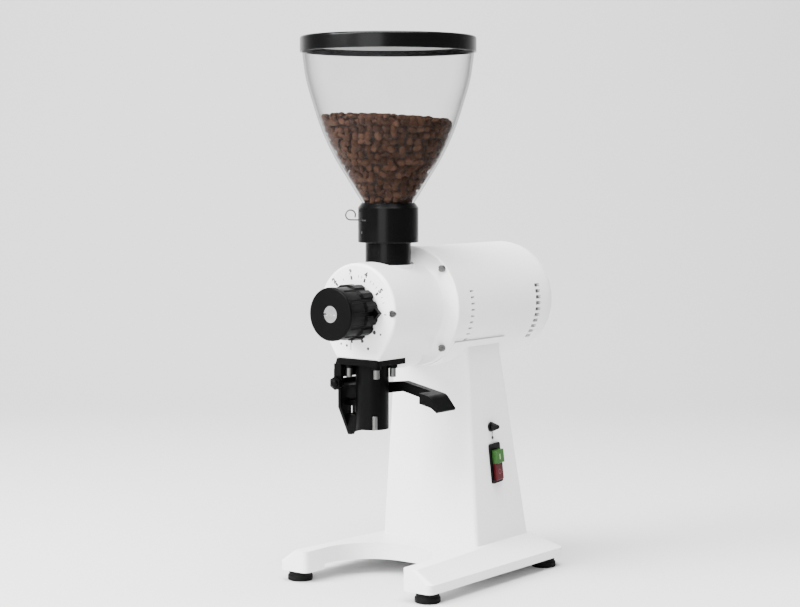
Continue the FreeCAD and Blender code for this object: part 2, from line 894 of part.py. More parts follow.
button_half = window_half - s.button_gap
buttons = {
    "on_button": (window_high - s.button_gap - s.on_button_tall, s.on_button_tall, s.on_button_proud),
    "off_button": (window_low + s.button_gap, s.off_button_tall, s.off_button_proud),
}
for label, (low, tall, proud) in buttons.items():
    button = new_body(label)
    face = new_sketch(button, "YZ_Plane", -s.button_root, s.switch_tilt, (0, 0, 1))
    outline(face, [
        (-button_half, low), (button_half, low), (button_half, low + tall), (-button_half, low + tall),
    ])
    front = s.bezel_thickness + proud
    feature(button, "Pad", face, s.button_root + front)
    dress(button, "Fillet", lambda box, e, front=front: box.XMin > num(front) - num(s.fit_gap),
          s.button_edge)
    place(button, **switch_seat)

# overload button: threaded bush in the wall and a rubber-capped push cone
reset_seat = {
    "x": reset_x + s.fit_gap, "y": s.reset_y, "z": reset_height,
    "axis": (0, -1, 0), "angle": wall_lean,
}


def along_x(label, corners, **where):
    """Turned piece about its own X axis from (along, radius) corners."""
    body = new_body(label)
    sketch = new_sketch(body, "XZ_Plane")
    outline(sketch, corners)
    turn(body, sketch, axis="H_Axis")
    place(body, **where)
    return body


along_x("reset_bush", [
    (-s.reset_barrel_length, s.reset_stem_radius + s.seat_gap),
    (s.reset_collar_height, s.reset_stem_radius + s.seat_gap),
    (s.reset_collar_height, s.reset_collar_radius, s.button_edge),
    (0, s.reset_collar_radius),
    (0, s.reset_barrel_radius),
    (-s.reset_barrel_length, s.reset_barrel_radius),
], **reset_seat)
cone_base = s.reset_collar_height + s.reset_travel + s.seat_gap
along_x("reset_button", [
    (-s.button_root, 0),
    (-s.button_root, s.reset_stem_radius),
    (cone_base, s.reset_stem_radius),
    (cone_base, s.reset_cone_radius, s.button_edge),
    (s.reset_reach + s.reset_travel, s.reset_tip_radius, s.button_edge),
    (s.reset_reach + s.reset_travel, 0),
], **reset_seat)

# cable gland through the rear wall of the column
rear_lean = slope_angle(s.column_foot_rear - s.column_top_rear, column_top - s.base_top)
rear_fall = (s.column_foot_rear - s.column_top_rear) / (column_top - s.base_top)
gland_y = s.column_foot_rear - (s.gland_height - s.base_top) * rear_fall
gland = turned("cable_gland", [
    (-s.gland_length, s.gland_bore),
    (s.gland_length, s.gland_bore),
    (s.gland_length, s.gland_radius - s.gland_bore / 2, s.button_edge),
    (s.gland_hex_height, s.gland_radius, s.button_edge),
    (s.gland_hex_height, s.gland_hex),
    (0, s.gland_hex),
    (0, s.gland_thread_radius),
    (-s.gland_length, s.gland_thread_radius),
], about="Y", y=gland_y + s.fit_gap, z=s.gland_height, axis=(1, 0, 0), angle=rear_lean)

# motor housing: a round shell closed at the rear, on a saddle that meets the column
motor = new_body("motor_housing")
shell = new_sketch(motor, "YZ_Plane")
outline(shell, [
    (-s.motor_front_y, 0),
    (-s.motor_front_y, s.motor_radius),
    (s.motor_rear_y, s.motor_radius, s.motor_rear_round),
    (s.motor_rear_y, 0),
])
turn(motor, shell, axis="H_Axis")
saddle = new_sketch(motor, "XY_Plane", column_top - s.axis_height)
outline(saddle, column_corners(column_top))
feature(motor, "Pad", saddle, s.saddle_height)
# thicker band low on the shell, that runs from the column forward to the flange
band = new_sketch(motor, "XZ_Plane", -s.column_top_rear)
band_reach = root(band_radius * band_radius - s.band_drop * s.band_drop)
band_turn = math.asin((s.band_drop / band_radius).value)
band_arc = band.addGeometry(Part.ArcOfCircle(
    Part.Circle(Vector(0, 0, 0), Vector(0, 0, 1), num(band_radius)),
    math.pi + band_turn, 2 * math.pi - band_turn))
band_chord = band.addGeometry(Part.LineSegment(
    Vector(-num(band_reach), -num(s.band_drop), 0), Vector(num(band_reach), -num(s.band_drop), 0)))
rules = [
    Sketcher.Constraint("Coincident", band_arc, 3, -1, 1),
    Sketcher.Constraint("Radius", band_arc, num(band_radius)),
    Sketcher.Constraint("Coincident", band_arc, 1, band_chord, 1),
    Sketcher.Constraint("Coincident", band_arc, 2, band_chord, 2),
    Sketcher.Constraint("Horizontal", band_chord),
    Sketcher.Constraint("DistanceY", -1, 1, band_chord, 1, -num(s.band_drop)),
]
finish_sketch(band, rules, [(1, band_radius), (5, -s.band_drop)])
feature(motor, "Pad", band, s.column_top_rear + s.motor_front_y)
inside = new_sketch(motor, "YZ_Plane")
hub_radius = s.bearing_radius + s.rear_hub_wall
floor_y = s.motor_rear_y - s.motor_floor
hub_y = floor_y - s.rear_hub_length
outline(inside, [
    (-s.motor_front_y - s.overrun, 0),
    (-s.motor_front_y - s.overrun, motor_inner),
    (floor_y, motor_inner, s.motor_rear_round - s.motor_wall),
    (floor_y, hub_radius),
    (hub_y, hub_radius),
    (hub_y, s.bearing_radius + s.fit_gap),
    (s.rear_bearing_y + s.bearing_width / 2 + s.bearing_recess, s.bearing_radius + s.fit_gap),
    (s.rear_bearing_y + s.bearing_width / 2 + s.bearing_recess, 0),
])
turn(motor, inside, "Groove", "H_Axis")


def vents(middle, length, width, count, side):
    """A row of slots low on one side of the shell, cut square to its skin."""
    start = s.vent_start_angle * -side
    sketch = new_sketch(motor, "YZ_Plane", turn=start)
    outline(sketch, [
        (middle - length / 2, -width / 2), (middle + length / 2, -width / 2),
        (middle + length / 2, width / 2), (middle - length / 2, width / 2),
    ])
    slot = feature(motor, "Pocket", sketch, s.motor_radius + s.overrun, reverse=side > 0)
    polar(motor, [slot], "Y_Axis", count, s.vent_step_angle * (count - 1), reverse=side < 0)


for side in (1, -1):
    vents(-s.vent_front_y, s.vent_front_length, s.vent_front_width, 9, side)
    vents(s.vent_rear_y, s.vent_rear_length, s.vent_rear_width, 10, side)
ring_pocket(motor, "XY_Plane", 0, s.cable_way_y, s.cable_way_radius, s.motor_wall * 3,
            -band_radius - s.fit_gap, reverse=True)
place(motor, z=s.axis_height)

# wound stator with its overhanging coils, and the turning parts of the motor
stator_radius = motor_inner - s.fit_gap
coil_front = s.stator_front_y - s.winding_overhang
coil_rear = s.stator_rear_y + s.winding_overhang
turned("wound_stator", [
    (coil_front, s.winding_bore, s.foot_edge), (s.stator_front_y, s.winding_bore),
    (s.stator_front_y, s.stator_bore), (s.stator_rear_y, s.stator_bore),
    (s.stator_rear_y, s.winding_bore), (coil_rear, s.winding_bore, s.foot_edge),
    (coil_rear, winding_radius, s.foot_edge), (s.stator_rear_y, winding_radius),
    (s.stator_rear_y, stator_radius), (s.stator_front_y, stator_radius),
    (s.stator_front_y, winding_radius), (coil_front, winding_radius, s.foot_edge),
], about="Y", z=s.axis_height)
push_bore = s.shaft_radius + s.fit_gap
turned("rotor_core", [
    (s.stator_front_y - s.rotor_overhang, push_bore),
    (s.stator_rear_y + s.rotor_overhang, push_bore),
    (s.stator_rear_y + s.rotor_overhang, s.end_ring_radius),
    (s.stator_rear_y, s.end_ring_radius),
    (s.stator_rear_y, s.stator_bore - s.rotor_gap),
    (s.stator_front_y, s.stator_bore - s.rotor_gap),
    (s.stator_front_y, s.end_ring_radius),
    (s.stator_front_y - s.rotor_overhang, s.end_ring_radius),
], about="Y", z=s.axis_height)

# axial stack of the grinding parts, from the fixed burr forward
fixed_rear = -s.feed_front_y
fixed_front = fixed_rear - s.burr_thickness
turning_rear = fixed_front - s.burr_gap
turning_front = turning_rear - s.burr_thickness
hub_front = turning_front - s.hub_thickness
wall_inner = -s.head_front_y + s.head_front_wall
cup_front = wall_inner + s.cup_room
nose_front = hub_front - s.shaft_nose_length
spindle_tip = wall_inner + s.spindle_reach
cup_pocket = cup_front + (hub_front - s.fit_gap - cup_front - s.shaft_nose_length - s.cup_web)
turned("motor_shaft", [
    (nose_front, 0), (nose_front, s.shaft_nose_radius), (hub_front, s.shaft_nose_radius),
    (hub_front, s.shaft_radius), (s.shaft_rear_y, s.shaft_radius), (s.shaft_rear_y, 0),
], about="Y", z=s.axis_height)
for label, middle in (("front_bearing", -s.front_bearing_y), ("rear_bearing", s.rear_bearing_y)):
    low = middle - s.bearing_width / 2
    high = middle + s.bearing_width / 2
    land_in = s.shaft_radius + s.running_gap + s.bearing_land
    land_out = s.bearing_radius - s.bearing_land
    turned(label, [
        (low, s.shaft_radius + s.running_gap), (high, s.shaft_radius + s.running_gap),
        (high, land_in), (high - s.bearing_recess, land_in),
        (high - s.bearing_recess, land_out), (high, land_out),
        (high, s.bearing_radius), (low, s.bearing_radius),
        (low, land_out), (low + s.bearing_recess, land_out),
        (low + s.bearing_recess, land_in), (low, land_in),
    ], about="Y", z=s.axis_height)
fan = new_body("cooling_fan")
fan_low = s.fan_y - s.fan_width / 2
fan_plate = new_sketch(fan, "YZ_Plane")
outline(fan_plate, [
    (fan_low, push_bore), (s.fan_y + s.fan_width / 2, push_bore),
    (s.fan_y + s.fan_width / 2, s.fan_hub_radius), (fan_low + s.fan_plate, s.fan_hub_radius),
    (fan_low + s.fan_plate, fan_radius), (fan_low, fan_radius),
])
turn(fan, fan_plate, axis="H_Axis")
blade = new_sketch(fan, "XZ_Plane", -fan_low)
outline(blade, [
    (-s.fan_blade / 2, s.fan_hub_radius - s.fan_plate), (s.fan_blade / 2, s.fan_hub_radius - s.fan_plate),
    (s.fan_blade / 2, fan_radius - s.fan_plate), (-s.fan_blade / 2, fan_radius - s.fan_plate),
])
blade_pad = feature(fan, "Pad", blade, s.fan_width, reverse=True)
polar(fan, [blade_pad], "Y_Axis", 9)
place(fan, z=s.axis_height)
turned("bearing_shield", [
    (-s.motor_front_y, s.shaft_radius + s.rotor_gap),
    (-s.front_bearing_y - s.bearing_width / 2 - s.fit_gap, s.shaft_radius + s.rotor_gap),
    (-s.front_bearing_y - s.bearing_width / 2 - s.fit_gap, s.bearing_radius + s.fit_gap),
    (-s.motor_front_y + s.shield_hub_length, s.bearing_radius + s.fit_gap),
    (-s.motor_front_y + s.shield_hub_length, s.shield_hub_radius),
    (-s.motor_front_y + s.shield_thickness, s.shield_hub_radius),
    (-s.motor_front_y + s.shield_thickness, stator_radius),
    (-s.motor_front_y, stator_radius),
], about="Y", z=s.axis_height)

# grinding head: keystone casting with a flared mounting flange and an outlet lobe
head = new_body("grinding_head")
front = new_sketch(head, "XZ_Plane", s.motor_front_y)
drop, half, ring = num(s.head_bottom_drop), num(s.head_bottom_half), num(s.head_radius)
touch = math.atan2(-drop, half) + math.acos(ring / math.hypot(drop, half))
right = Vector(ring * math.cos(touch), ring * math.sin(touch), 0)
left = Vector(-right.x, right.y, 0)
corner_left, corner_right = Vector(-half, -drop, 0), Vector(half, -drop, 0)
crown = front.addGeometry(Part.ArcOfCircle(
    Part.Circle(Vector(0, 0, 0), Vector(0, 0, 1), ring), touch, math.pi - touch))
side_left = front.addGeometry(Part.LineSegment(left, corner_left))
bottom = front.addGeometry(Part.LineSegment(corner_left, corner_right))
side_right = front.addGeometry(Part.LineSegment(corner_right, right))
rules = [
    Sketcher.Constraint("Coincident", crown, 3, -1, 1),
    Sketcher.Constraint("Radius", crown, ring),
    Sketcher.Constraint("Tangent", crown, 2, side_left, 1),
    Sketcher.Constraint("Coincident", side_left, 2, bottom, 1),
    Sketcher.Constraint("Coincident", bottom, 2, side_right, 1),
    Sketcher.Constraint("Tangent", side_right, 2, crown, 1),
]
ties = [(1, s.head_radius)]
pin_point(front, rules, ties, bottom, 1, -s.head_bottom_half, -s.head_bottom_drop)
pin_point(front, rules, ties, bottom, 2, s.head_bottom_half, -s.head_bottom_drop)
finish_sketch(front, rules, ties)
feature(head, "Pad", front, s.head_front_y - s.motor_front_y)
dress(head, "Fillet", lambda box, e: box.YMax < -num(s.head_front_y - s.fit_gap), s.head_edge)
flange_front = -s.motor_front_y - s.flange_thickness
flare_root = s.head_radius - s.head_edge / 4
flare = new_sketch(head, "YZ_Plane")
outline(flare, [
    (-s.motor_front_y, s.head_bore - s.fit_gap),
    (-s.motor_front_y, flange_radius),
    (flange_front, flange_radius, s.flange_edge * 0.5),
    (flange_front, flare_root, s.flange_flare),
    (flange_front - s.flange_flare - s.flange_edge, flare_root),
    (flange_front - s.flange_flare - s.flange_edge, s.head_bore - s.fit_gap),
])
turn(head, flare, axis="H_Axis")
lobe = new_sketch(head, "XZ_Plane", s.belly_rear_y)
circle(lobe, 0, -s.belly_drop, s.belly_radius)
feature(head, "Pad", lobe, s.belly_front_y - s.belly_rear_y)
dress(head, "Fillet", lambda box, e: (
    abs(box.YMax + num(s.belly_front_y)) < num(s.fit_gap)
    and abs(box.YMin + num(s.belly_front_y)) < num(s.fit_gap)
    and box.ZMin < -num(s.head_bottom_drop + s.head_edge)), s.belly_round)
boss = new_sketch(head, "XY_Plane")
circle(boss, 0, -s.hopper_y, s.boss_radius)
feature(head, "Pad", boss, s.boss_rise)
ring_pocket(head, "XY_Plane", 0, -s.hopper_y, s.boss_radius + s.seat_gap, s.overrun, s.boss_rise,
            reverse=True)
ring_pocket(head, "XZ_Plane", 0, 0, s.head_bore, s.head_front_y - s.head_front_wall - s.motor_front_y,
            s.motor_front_y, reverse=True)
ring_pocket(head, "XZ_Plane", 0, 0, s.spindle_radius + s.running_gap, s.head_front_wall + s.fit_gap,
            s.head_front_y, reverse=False)
outlet = s.spout_bore
ring_pocket(head, "XY_Plane", 0, -s.spout_y, outlet, s.head_bottom_drop, -s.head_bottom_drop,
            reverse=True)
ring_pocket(head, "XY_Plane", 0, -s.hopper_y, s.inlet_radius, s.head_radius, 0, reverse=True)
ring_pocket(head, "XY_Plane", 0, -s.hopper_y, s.neck_radius + s.fit_gap, s.head_radius,
            neck_bottom - s.axis_height - s.fit_gap, reverse=True)
seat_front = flange_front - s.seat_gap
for side_x in (-1, 1):
    for side_z in (-1, 1):
        at_x = flange_radius * flange_screw_across_share * side_x
        at_z = flange_radius * flange_screw_up_share * side_z
        ring_pocket(head, "XZ_Plane", at_x, at_z, s.screw_shank_radius + s.fit_gap,
                    s.screw_shank_length + s.seat_gap, -seat_front)
        ring_pocket(head, "XZ_Plane", at_x, at_z, s.screw_head_radius + s.seat_gap,
                    s.flange_flare, -seat_front, reverse=True)
        name = {(-1, 1): "upper_left", (1, 1): "upper_right",
                (-1, -1): "lower_left", (1, -1): "lower_right"}[(side_x, side_z)]
        slot_screw("flange_screw_" + name, s.screw_head_radius, s.screw_head_height,
                   s.screw_shank_radius, s.screw_shank_length, s.screw_slot,
                   x=at_x, y=seat_front, z=s.axis_height + at_z, axis=(1, 0, 0), angle=90)
    face_seat = s.screw_head_height - s.screw_proud
    at_x = s.face_screw_reach * side_x
    ring_pocket(head, "XZ_Plane", at_x, 0, s.screw_head_radius + s.fit_gap, face_seat,
                s.head_front_y)
    ring_pocket(head, "XZ_Plane", at_x, 0, s.screw_shank_radius + s.fit_gap,
                face_seat + s.screw_shank_length / 2 + s.seat_gap, s.head_front_y)
    slot_screw("face_screw_" + ("left" if side_x < 0 else "right"),
               s.screw_head_radius, s.screw_head_height,
               s.screw_shank_radius, s.screw_shank_length / 2, s.screw_slot,
               x=at_x, y=-s.head_front_y + face_seat, z=s.axis_height, axis=(1, 0, 0), angle=90)
for at_y in (-s.spout_screw_front_y, -s.spout_screw_rear_y):
    for side_x in (-1, 1):
        ring_pocket(head, "XY_Plane", s.spout_screw_x * side_x, at_y,
                    s.cap_screw_shank + s.fit_gap,
                    s.cap_screw_grip - s.spout_plate - s.spout_boss_height + s.seat_gap,
                    -s.head_bottom_drop - s.fit_gap, reverse=True)
place(head, z=s.axis_height)

# feed chamber pushed into the head: bean inlet, screw tunnel and seat of the fixed burr
feed = new_body("feed_chamber")
tunnel = new_sketch(feed, "YZ_Plane")
outline(tunnel, [
    (fixed_rear, s.feed_bore), (-s.feed_wall_y, s.feed_bore),
    (-s.feed_wall_y, s.shaft_radius + s.rotor_gap),
    (-s.motor_front_y - s.seat_gap, s.shaft_radius + s.rotor_gap),
    (-s.motor_front_y - s.seat_gap, s.head_bore - s.fit_gap),
    (fixed_rear, s.head_bore - s.fit_gap),
])
turn(feed, tunnel, axis="H_Axis")
ring_pocket(feed, "XY_Plane", 0, -s.hopper_y, s.inlet_radius, s.head_bore, 0, reverse=True)
ring_pocket(feed, "XY_Plane", 0, -s.hopper_y, s.neck_radius + s.fit_gap, s.head_bore,
            neck_bottom - s.axis_height - s.fit_gap, reverse=True)
place(feed, z=s.axis_height)


def burr(label, back, face, **where):
    """Grinding disc between y = back and y = face, with radial teeth cut in its face."""
    body = new_body(label)
    toward = 1 if num(face) > num(back) else -1
    disc = new_sketch(body, "YZ_Plane")
    outline(disc, [
        (back, s.burr_bore), (face - s.burr_tooth_depth * 2 * toward, s.burr_bore),
        (face, s.burr_throat), (face, s.burr_radius), (back, s.burr_radius),
    ] if toward < 0 else [
        (back, s.burr_bore), (back, s.burr_radius), (face, s.burr_radius),
        (face, s.burr_throat), (face - s.burr_tooth_depth * 2 * toward, s.burr_bore),
    ])
    turn(body, disc, axis="H_Axis")
    tooth = new_sketch(body, "XZ_Plane", -face)
    outline(tooth, [
        (0, s.burr_bore - s.burr_tooth_depth), (s.burr_tooth_width, s.burr_radius + s.overrun),
        (0, s.burr_radius + s.overrun),
    ])
    cut = feature(body, "Pocket", tooth, s.burr_tooth_depth, reverse=toward < 0)
    polar(body, [cut], "Y_Axis", 18)
    place(body, **where)
    return body


burr("fixed_burr", fixed_rear - s.fit_gap, fixed_front, z=s.axis_height)
burr("turning_burr", turning_front, turning_rear, z=s.axis_height)
turned("burr_hub", [
    (hub_front, push_bore), (turning_front - s.fit_gap, push_bore),
    (turning_front - s.fit_gap, s.hub_radius), (hub_front, s.hub_radius, s.foot_edge),
], about="Y", z=s.axis_height)
auger = new_body("feed_screw")
core = new_sketch(auger, "YZ_Plane")
outline(core, [
    (-s.auger_front_y, push_bore), (-s.auger_rear_y, push_bore),
    (-s.auger_rear_y, s.auger_core), (-s.auger_front_y, s.auger_core),
])
turn(auger, core, axis="H_Axis")
rib = new_sketch(auger, "YZ_Plane")
outline(rib, [
    (-s.auger_front_y, s.auger_core - s.auger_rib_root),
    (-s.auger_front_y + s.auger_rib, s.auger_core - s.auger_rib_root),
    (-s.auger_front_y + s.auger_rib * 0.75, s.auger_radius),
    (-s.auger_front_y + s.auger_rib * 0.25, s.auger_radius),
])
thread = feature(auger, "AdditiveHelix", rib)
thread.ReferenceAxis = (rib, ["H_Axis"])
thread.Mode = 0
bind(thread, "Pitch", s.auger_pitch)
bind(thread, "Height", s.auger_front_y - s.auger_rear_y - s.auger_rib)
place(auger, z=s.axis_height)

# thrust cup that the spindle's thread carries forward and back, and the spindle
turned("thrust_cup", [
    (cup_pocket, 0),
    (cup_pocket, s.spindle_radius + s.running_gap),
    (cup_front, s.spindle_radius + s.running_gap),
    (cup_front, s.cup_radius),
    (hub_front - s.seat_gap, s.cup_radius),
    (hub_front - s.seat_gap, s.shaft_nose_radius + s.running_gap),
    (cup_pocket + s.cup_web, s.shaft_nose_radius + s.running_gap),
    (cup_pocket + s.cup_web, 0),
], about="Y", z=s.axis_height)
knob_back = -s.head_front_y - s.knob_face_gap
screw_front = -s.knob_front_y + s.knob_screw_recess
screw_seat = screw_front + s.knob_screw_height
turned("adjusting_spindle", [
    (screw_seat, 0), (screw_seat, s.spindle_radius),
    (wall_inner + s.spindle_reach, s.spindle_radius), (wall_inner + s.spindle_reach, 0),
], about="Y", z=s.axis_height)

# adjusting knob: bevelled disc, fluted grip, twelve-sided skirt and a pointer
knob = new_body("grind_knob")
knob_sides = 12
skirt_front = -s.knob_front_y + s.knob_disc + s.grip_length
skirt_face = new_sketch(knob, "XZ_Plane", -knob_back)
half_step = math.pi / knob_sides
outline(skirt_face, [
    (s.skirt_radius * math.sin(half_step * (2 * i + 1)), s.skirt_radius * math.cos(half_step * (2 * i + 1)))
    for i in range(knob_sides)
])
feature(knob, "Pad", skirt_face, knob_back - skirt_front)
dress(knob, "Chamfer", lambda box, e: box.YMax < num(skirt_front + s.fit_gap), s.skirt_chamfer)
grip = new_sketch(knob, "YZ_Plane")
outline(grip, [
    (-s.knob_front_y, 0),
    (-s.knob_front_y, s.knob_radius, s.knob_bevel),
    (-s.knob_front_y + s.knob_disc, s.knob_radius),
    (-s.knob_front_y + s.knob_disc, s.grip_radius),
    (skirt_front + s.fit_gap, s.grip_radius),
    (skirt_front + s.fit_gap, 0),
])
turn(knob, grip, axis="H_Axis")
flute = ring_pocket(knob, "XZ_Plane", 0, s.flute_reach, s.flute_radius,
                    s.knob_front_y - s.knob_disc + knob_back + s.overrun,
                    s.knob_front_y - s.knob_disc)
polar(knob, [flute], "Y_Axis", knob_sides)
pointer = new_sketch(knob, "XZ_Plane", -knob_back)
outline(pointer, [
    (s.pointer_root, -s.pointer_half), (s.pointer_tip - s.pointer_half, -s.pointer_half),
    (s.pointer_tip, 0), (s.pointer_tip - s.pointer_half, s.pointer_half),
    (s.pointer_root, s.pointer_half),
])
feature(knob, "Pad", pointer, s.pointer_thick)
ring_pocket(knob, "XZ_Plane", 0, 0, s.spindle_radius + s.fit_gap, s.knob_front_y,
            -knob_back - s.overrun, reverse=True)
ring_pocket(knob, "XZ_Plane", 0, 0, s.knob_screw_radius + s.fit_gap,
            s.knob_screw_height + s.knob_screw_recess, s.knob_front_y)
place(knob, z=s.axis_height)
slot_screw("knob_screw", s.knob_screw_radius, s.knob_screw_height - s.fit_gap,
           s.spindle_radius, s.fit_gap, s.knob_screw_slot,
           y=screw_seat - s.fit_gap * 2, z=s.axis_height, axis=(1, 0, 0), angle=90)

# hopper neck on the head, and the collar with its shutter slot
hopper_seat = {"y": -s.hopper_y}
spigot_top = level["neck_top"] + s.collar_neck_seat
turned("hopper_neck", [
    (s.neck_bore, neck_bottom), (s.neck_radius, neck_bottom),
    (s.neck_radius, level["neck_top"]), (s.collar_seat_radius, level["neck_top"]),
    (s.collar_seat_radius, spigot_top), (s.neck_bore, spigot_top),
], **hopper_seat)
collar = new_body("hopper_collar")
ring = new_sketch(collar, "XZ_Plane")
socket_radius = s.hopper_neck_radius + s.seat_gap
outline(ring, [
    (s.collar_seat_radius + s.fit_gap, level["neck_top"]),
    (s.collar_radius, level["neck_top"], s.collar_edge),
    (s.collar_radius, level["collar_top"] - s.collar_bevel),
    (s.collar_radius - s.collar_bevel_width, level["collar_top"]),
    (socket_radius + s.collar_mouth, level["collar_top"]),
    (socket_radius, level["flare"] - s.seat_gap),
    (socket_radius, level["hopper_foot"] - s.fit_gap),
    (s.neck_bore, level["hopper_foot"] - s.fit_gap),
    (s.neck_bore, spigot_top + s.fit_gap),
    (s.collar_seat_radius + s.fit_gap, spigot_top + s.fit_gap),
])
turn(collar, ring)


def shutter_outline(sketch, gap, front, front_corner):
    """Plan of the sliding plate, or of its slot when a gap is added."""
    half = s.shutter_half_width + gap
    inner = s.shutter_inner + gap
    outline(sketch, [
        (-half, -front, front_corner), (half, -front, front_corner),
        (half, inner, s.shutter_inner_corner), (-half, inner, s.shutter_inner_corner),
    ])


slot = new_sketch(collar, "XY_Plane", level["shutter"] - s.shutter_thickness / 2 - s.running_gap)
shutter_outline(slot, s.running_gap, s.collar_radius + s.overrun, 0)
feature(collar, "Pocket", slot, s.shutter_thickness + s.running_gap * 2, reverse=True)
screw_way = new_sketch(collar, "XZ_Plane", turn=s.shutter_angle - s.collar_screw_angle, hinge=(0, 1, 0))
circle(screw_way, 0, level["collar_screw"], s.collar_screw_radius + s.fit_gap)
feature(collar, "Pocket", screw_way, s.collar_radius + s.overrun, reverse=True)
place(collar, angle=-s.shutter_angle, **hopper_seat)
grub = along_x("collar_screw", [
    (s.collar_seat_radius + s.fit_gap, 0),
    (s.collar_radius - s.seat_gap, 0),
    (s.collar_radius - s.seat_gap, s.collar_screw_radius),
    (s.collar_seat_radius + s.fit_gap, s.collar_screw_radius),
], y=-s.hopper_y, z=level["collar_screw"], angle=-s.collar_screw_angle - 90)

# shutter plate with its upright wire curl
shutter = new_body("shutter_slide")
plate = new_sketch(shutter, "XY_Plane", level["shutter"] - s.shutter_thickness / 2)
shutter_outline(plate, s.running_gap * 0, s.shutter_front, s.shutter_front_corner)
feature(shutter, "Pad", plate, s.shutter_thickness)
tab = new_sketch(shutter, "XY_Plane", level["shutter"] - s.shutter_thickness / 2)
outline(tab, [
    (-s.shutter_tab_half, -s.shutter_outer), (s.shutter_tab_half, -s.shutter_outer),
    (s.shutter_tab_half, -s.shutter_inner), (-s.shutter_tab_half, -s.shutter_inner),
])
feature(shutter, "Pad", tab, s.shutter_thickness)
curl = new_sketch(shutter, "XZ_Plane", s.shutter_outer - s.shutter_tab_half)
circle(curl, 0, level["shutter"], s.curl_wire)
rail = new_sketch(shutter, "YZ_Plane")
low, high = num(level["shutter"]), num(level["shutter"] + s.curl_radius)
run = rail.addGeometry(Part.LineSegment(Vector(-num(s.shutter_outer - s.shutter_tab_half), low, 0),
                                        Vector(-num(s.curl_reach), low, 0)))
tip_angle = math.radians(270 - num(s.curl_sweep))
hoop = rail.addGeometry(Part.ArcOfCircle(Part.Circle(
    Vector(-num(s.curl_reach), high, 0), Vector(0, 0, 1), num(s.curl_radius)),
    tip_angle, math.radians(270)))
tip_share = 1 + math.sin(tip_angle)
rules = [
    Sketcher.Constraint("Coincident", run, 2, hoop, 2),
    Sketcher.Constraint("Radius", hoop, num(s.curl_radius)),
    Sketcher.Constraint("DistanceY", -1, 1, hoop, 1, low + num(s.curl_radius) * tip_share),
]
ties = [(1, s.curl_radius), (2, level["shutter"] + s.curl_radius * tip_share)]
pin_point(rail, rules, ties, run, 1, -s.shutter_outer + s.shutter_tab_half, level["shutter"])
pin_point(rail, rules, ties, run, 2, -s.curl_reach, level["shutter"])
rules.append(Sketcher.Constraint("DistanceX", -1, 1, hoop, 3, -num(s.curl_reach)))
ties.append((len(rules) - 1, -s.curl_reach))
finish_sketch(rail, rules, ties)
wire = feature(shutter, "AdditivePipe", curl)
wire.Spine = (rail, [])
place(shutter, angle=-s.shutter_angle, **hopper_seat)


def beside(back, here, ahead, gap):
    """Corner of the parallel outline that runs at a gap on the left."""
    normals = []
    for first, second in ((back, here), (here, ahead)):
        across = second[0] - first[0]
        along = second[1] - first[1]
        span = root(across * across + along * along)
        normals.append((-along / span, across / span))
    (ax, ay), (bx, by) = normals
    reach = gap / (ax * bx + ay * by + 1)
    return here[0] + (ax + bx) * reach, here[1] + (ay + by) * reach


# clear hopper: straight neck, flared cone and a rim that carries the lid
rim_height = s.overall_height - s.lid_plate - s.seat_gap
cone = [
    (s.hopper_neck_radius, level["hopper_foot"]),
    (s.hopper_neck_radius, level["flare"]),
    (s.hopper_knee_radius, level["knee"]),
    (s.hopper_bend_radius, level["bend"]),
    (s.hopper_rim_radius, level["shoulder"]),
    (s.hopper_rim_radius, rim_height),
]


def cone_inside(gap):
    return [beside(cone[i - 1], cone[i], cone[i + 1], gap) for i in (1, 2, 3, 4)]


hopper = new_body("hopper")
shell = new_sketch(hopper, "XZ_Plane")
flare_in, knee_in, bend_in, shoulder_in = cone_inside(s.hopper_wall)
outline(shell, [
    cone[0], cone[1], cone[2] + (knee_round,), cone[3] + (bend_round,), cone[4], cone[5],
    (s.hopper_rim_radius - s.hopper_wall, rim_height),
    shoulder_in, bend_in + (bend_round - s.hopper_wall,),
    knee_in + (knee_round - s.hopper_wall,),
    flare_in,
    (s.hopper_neck_radius - s.hopper_wall, level["hopper_foot"]),
])
turn(hopper, shell)
place(hopper, **hopper_seat)

# charge of beans, a plain heap that fills the hopper to its level
beans = new_body("coffee_beans")
heap = new_sketch(beans, "XZ_Plane")
bean_gap = s.hopper_wall + s.seat_gap
flare_in, knee_in, bend_in, shoulder_in = cone_inside(bean_gap)
bean_floor = level["hopper_foot"] + s.seat_gap
shutter_floor = level["shutter"] + s.shutter_thickness / 2 + s.seat_gap
outline(heap, [
    (0, shutter_floor), (s.neck_bore - s.seat_gap, shutter_floor),
    (s.neck_bore - s.seat_gap, bean_floor),
    (s.hopper_neck_radius - bean_gap, bean_floor),
    flare_in, knee_in + (knee_round - bean_gap,), bend_in + (bend_round - bean_gap,), shoulder_in,
    (0, level["shoulder"]),
])
turn(beans, heap)
crown = new_sketch(beans, "XZ_Plane")
outline(crown, [
    (0, level["beans"] + s.bean_crown), (s.hopper_rim_radius, level["beans"]),
    (s.hopper_rim_radius, s.overall_height), (0, s.overall_height),
])
turn(beans, crown, "Groove")
place(beans, **hopper_seat)

# lid with a deep band outside the rim and a short skirt inside it
lid = new_body("hopper_lid")
cap = new_sketch(lid, "XZ_Plane")
lid_under = s.overall_height - s.lid_plate
skirt_radius = s.hopper_rim_radius - s.hopper_wall - s.seat_gap * 2
outline(cap, [
    (0, lid_under), (skirt_radius - s.lid_skirt_wall, lid_under),
    (skirt_radius - s.lid_skirt_wall, lid_under - s.lid_skirt_drop),
    (skirt_radius, lid_under - s.lid_skirt_drop), (skirt_radius, lid_under),
    (s.lid_radius - s.lid_wall, lid_under),
    (s.lid_radius - s.lid_wall, s.overall_height - s.lid_band),
    (s.lid_radius, s.overall_height - s.lid_band),
    (s.lid_radius, s.overall_height, s.lid_round), (0, s.overall_height),
])
turn(lid, cap)
place(lid, **hopper_seat)

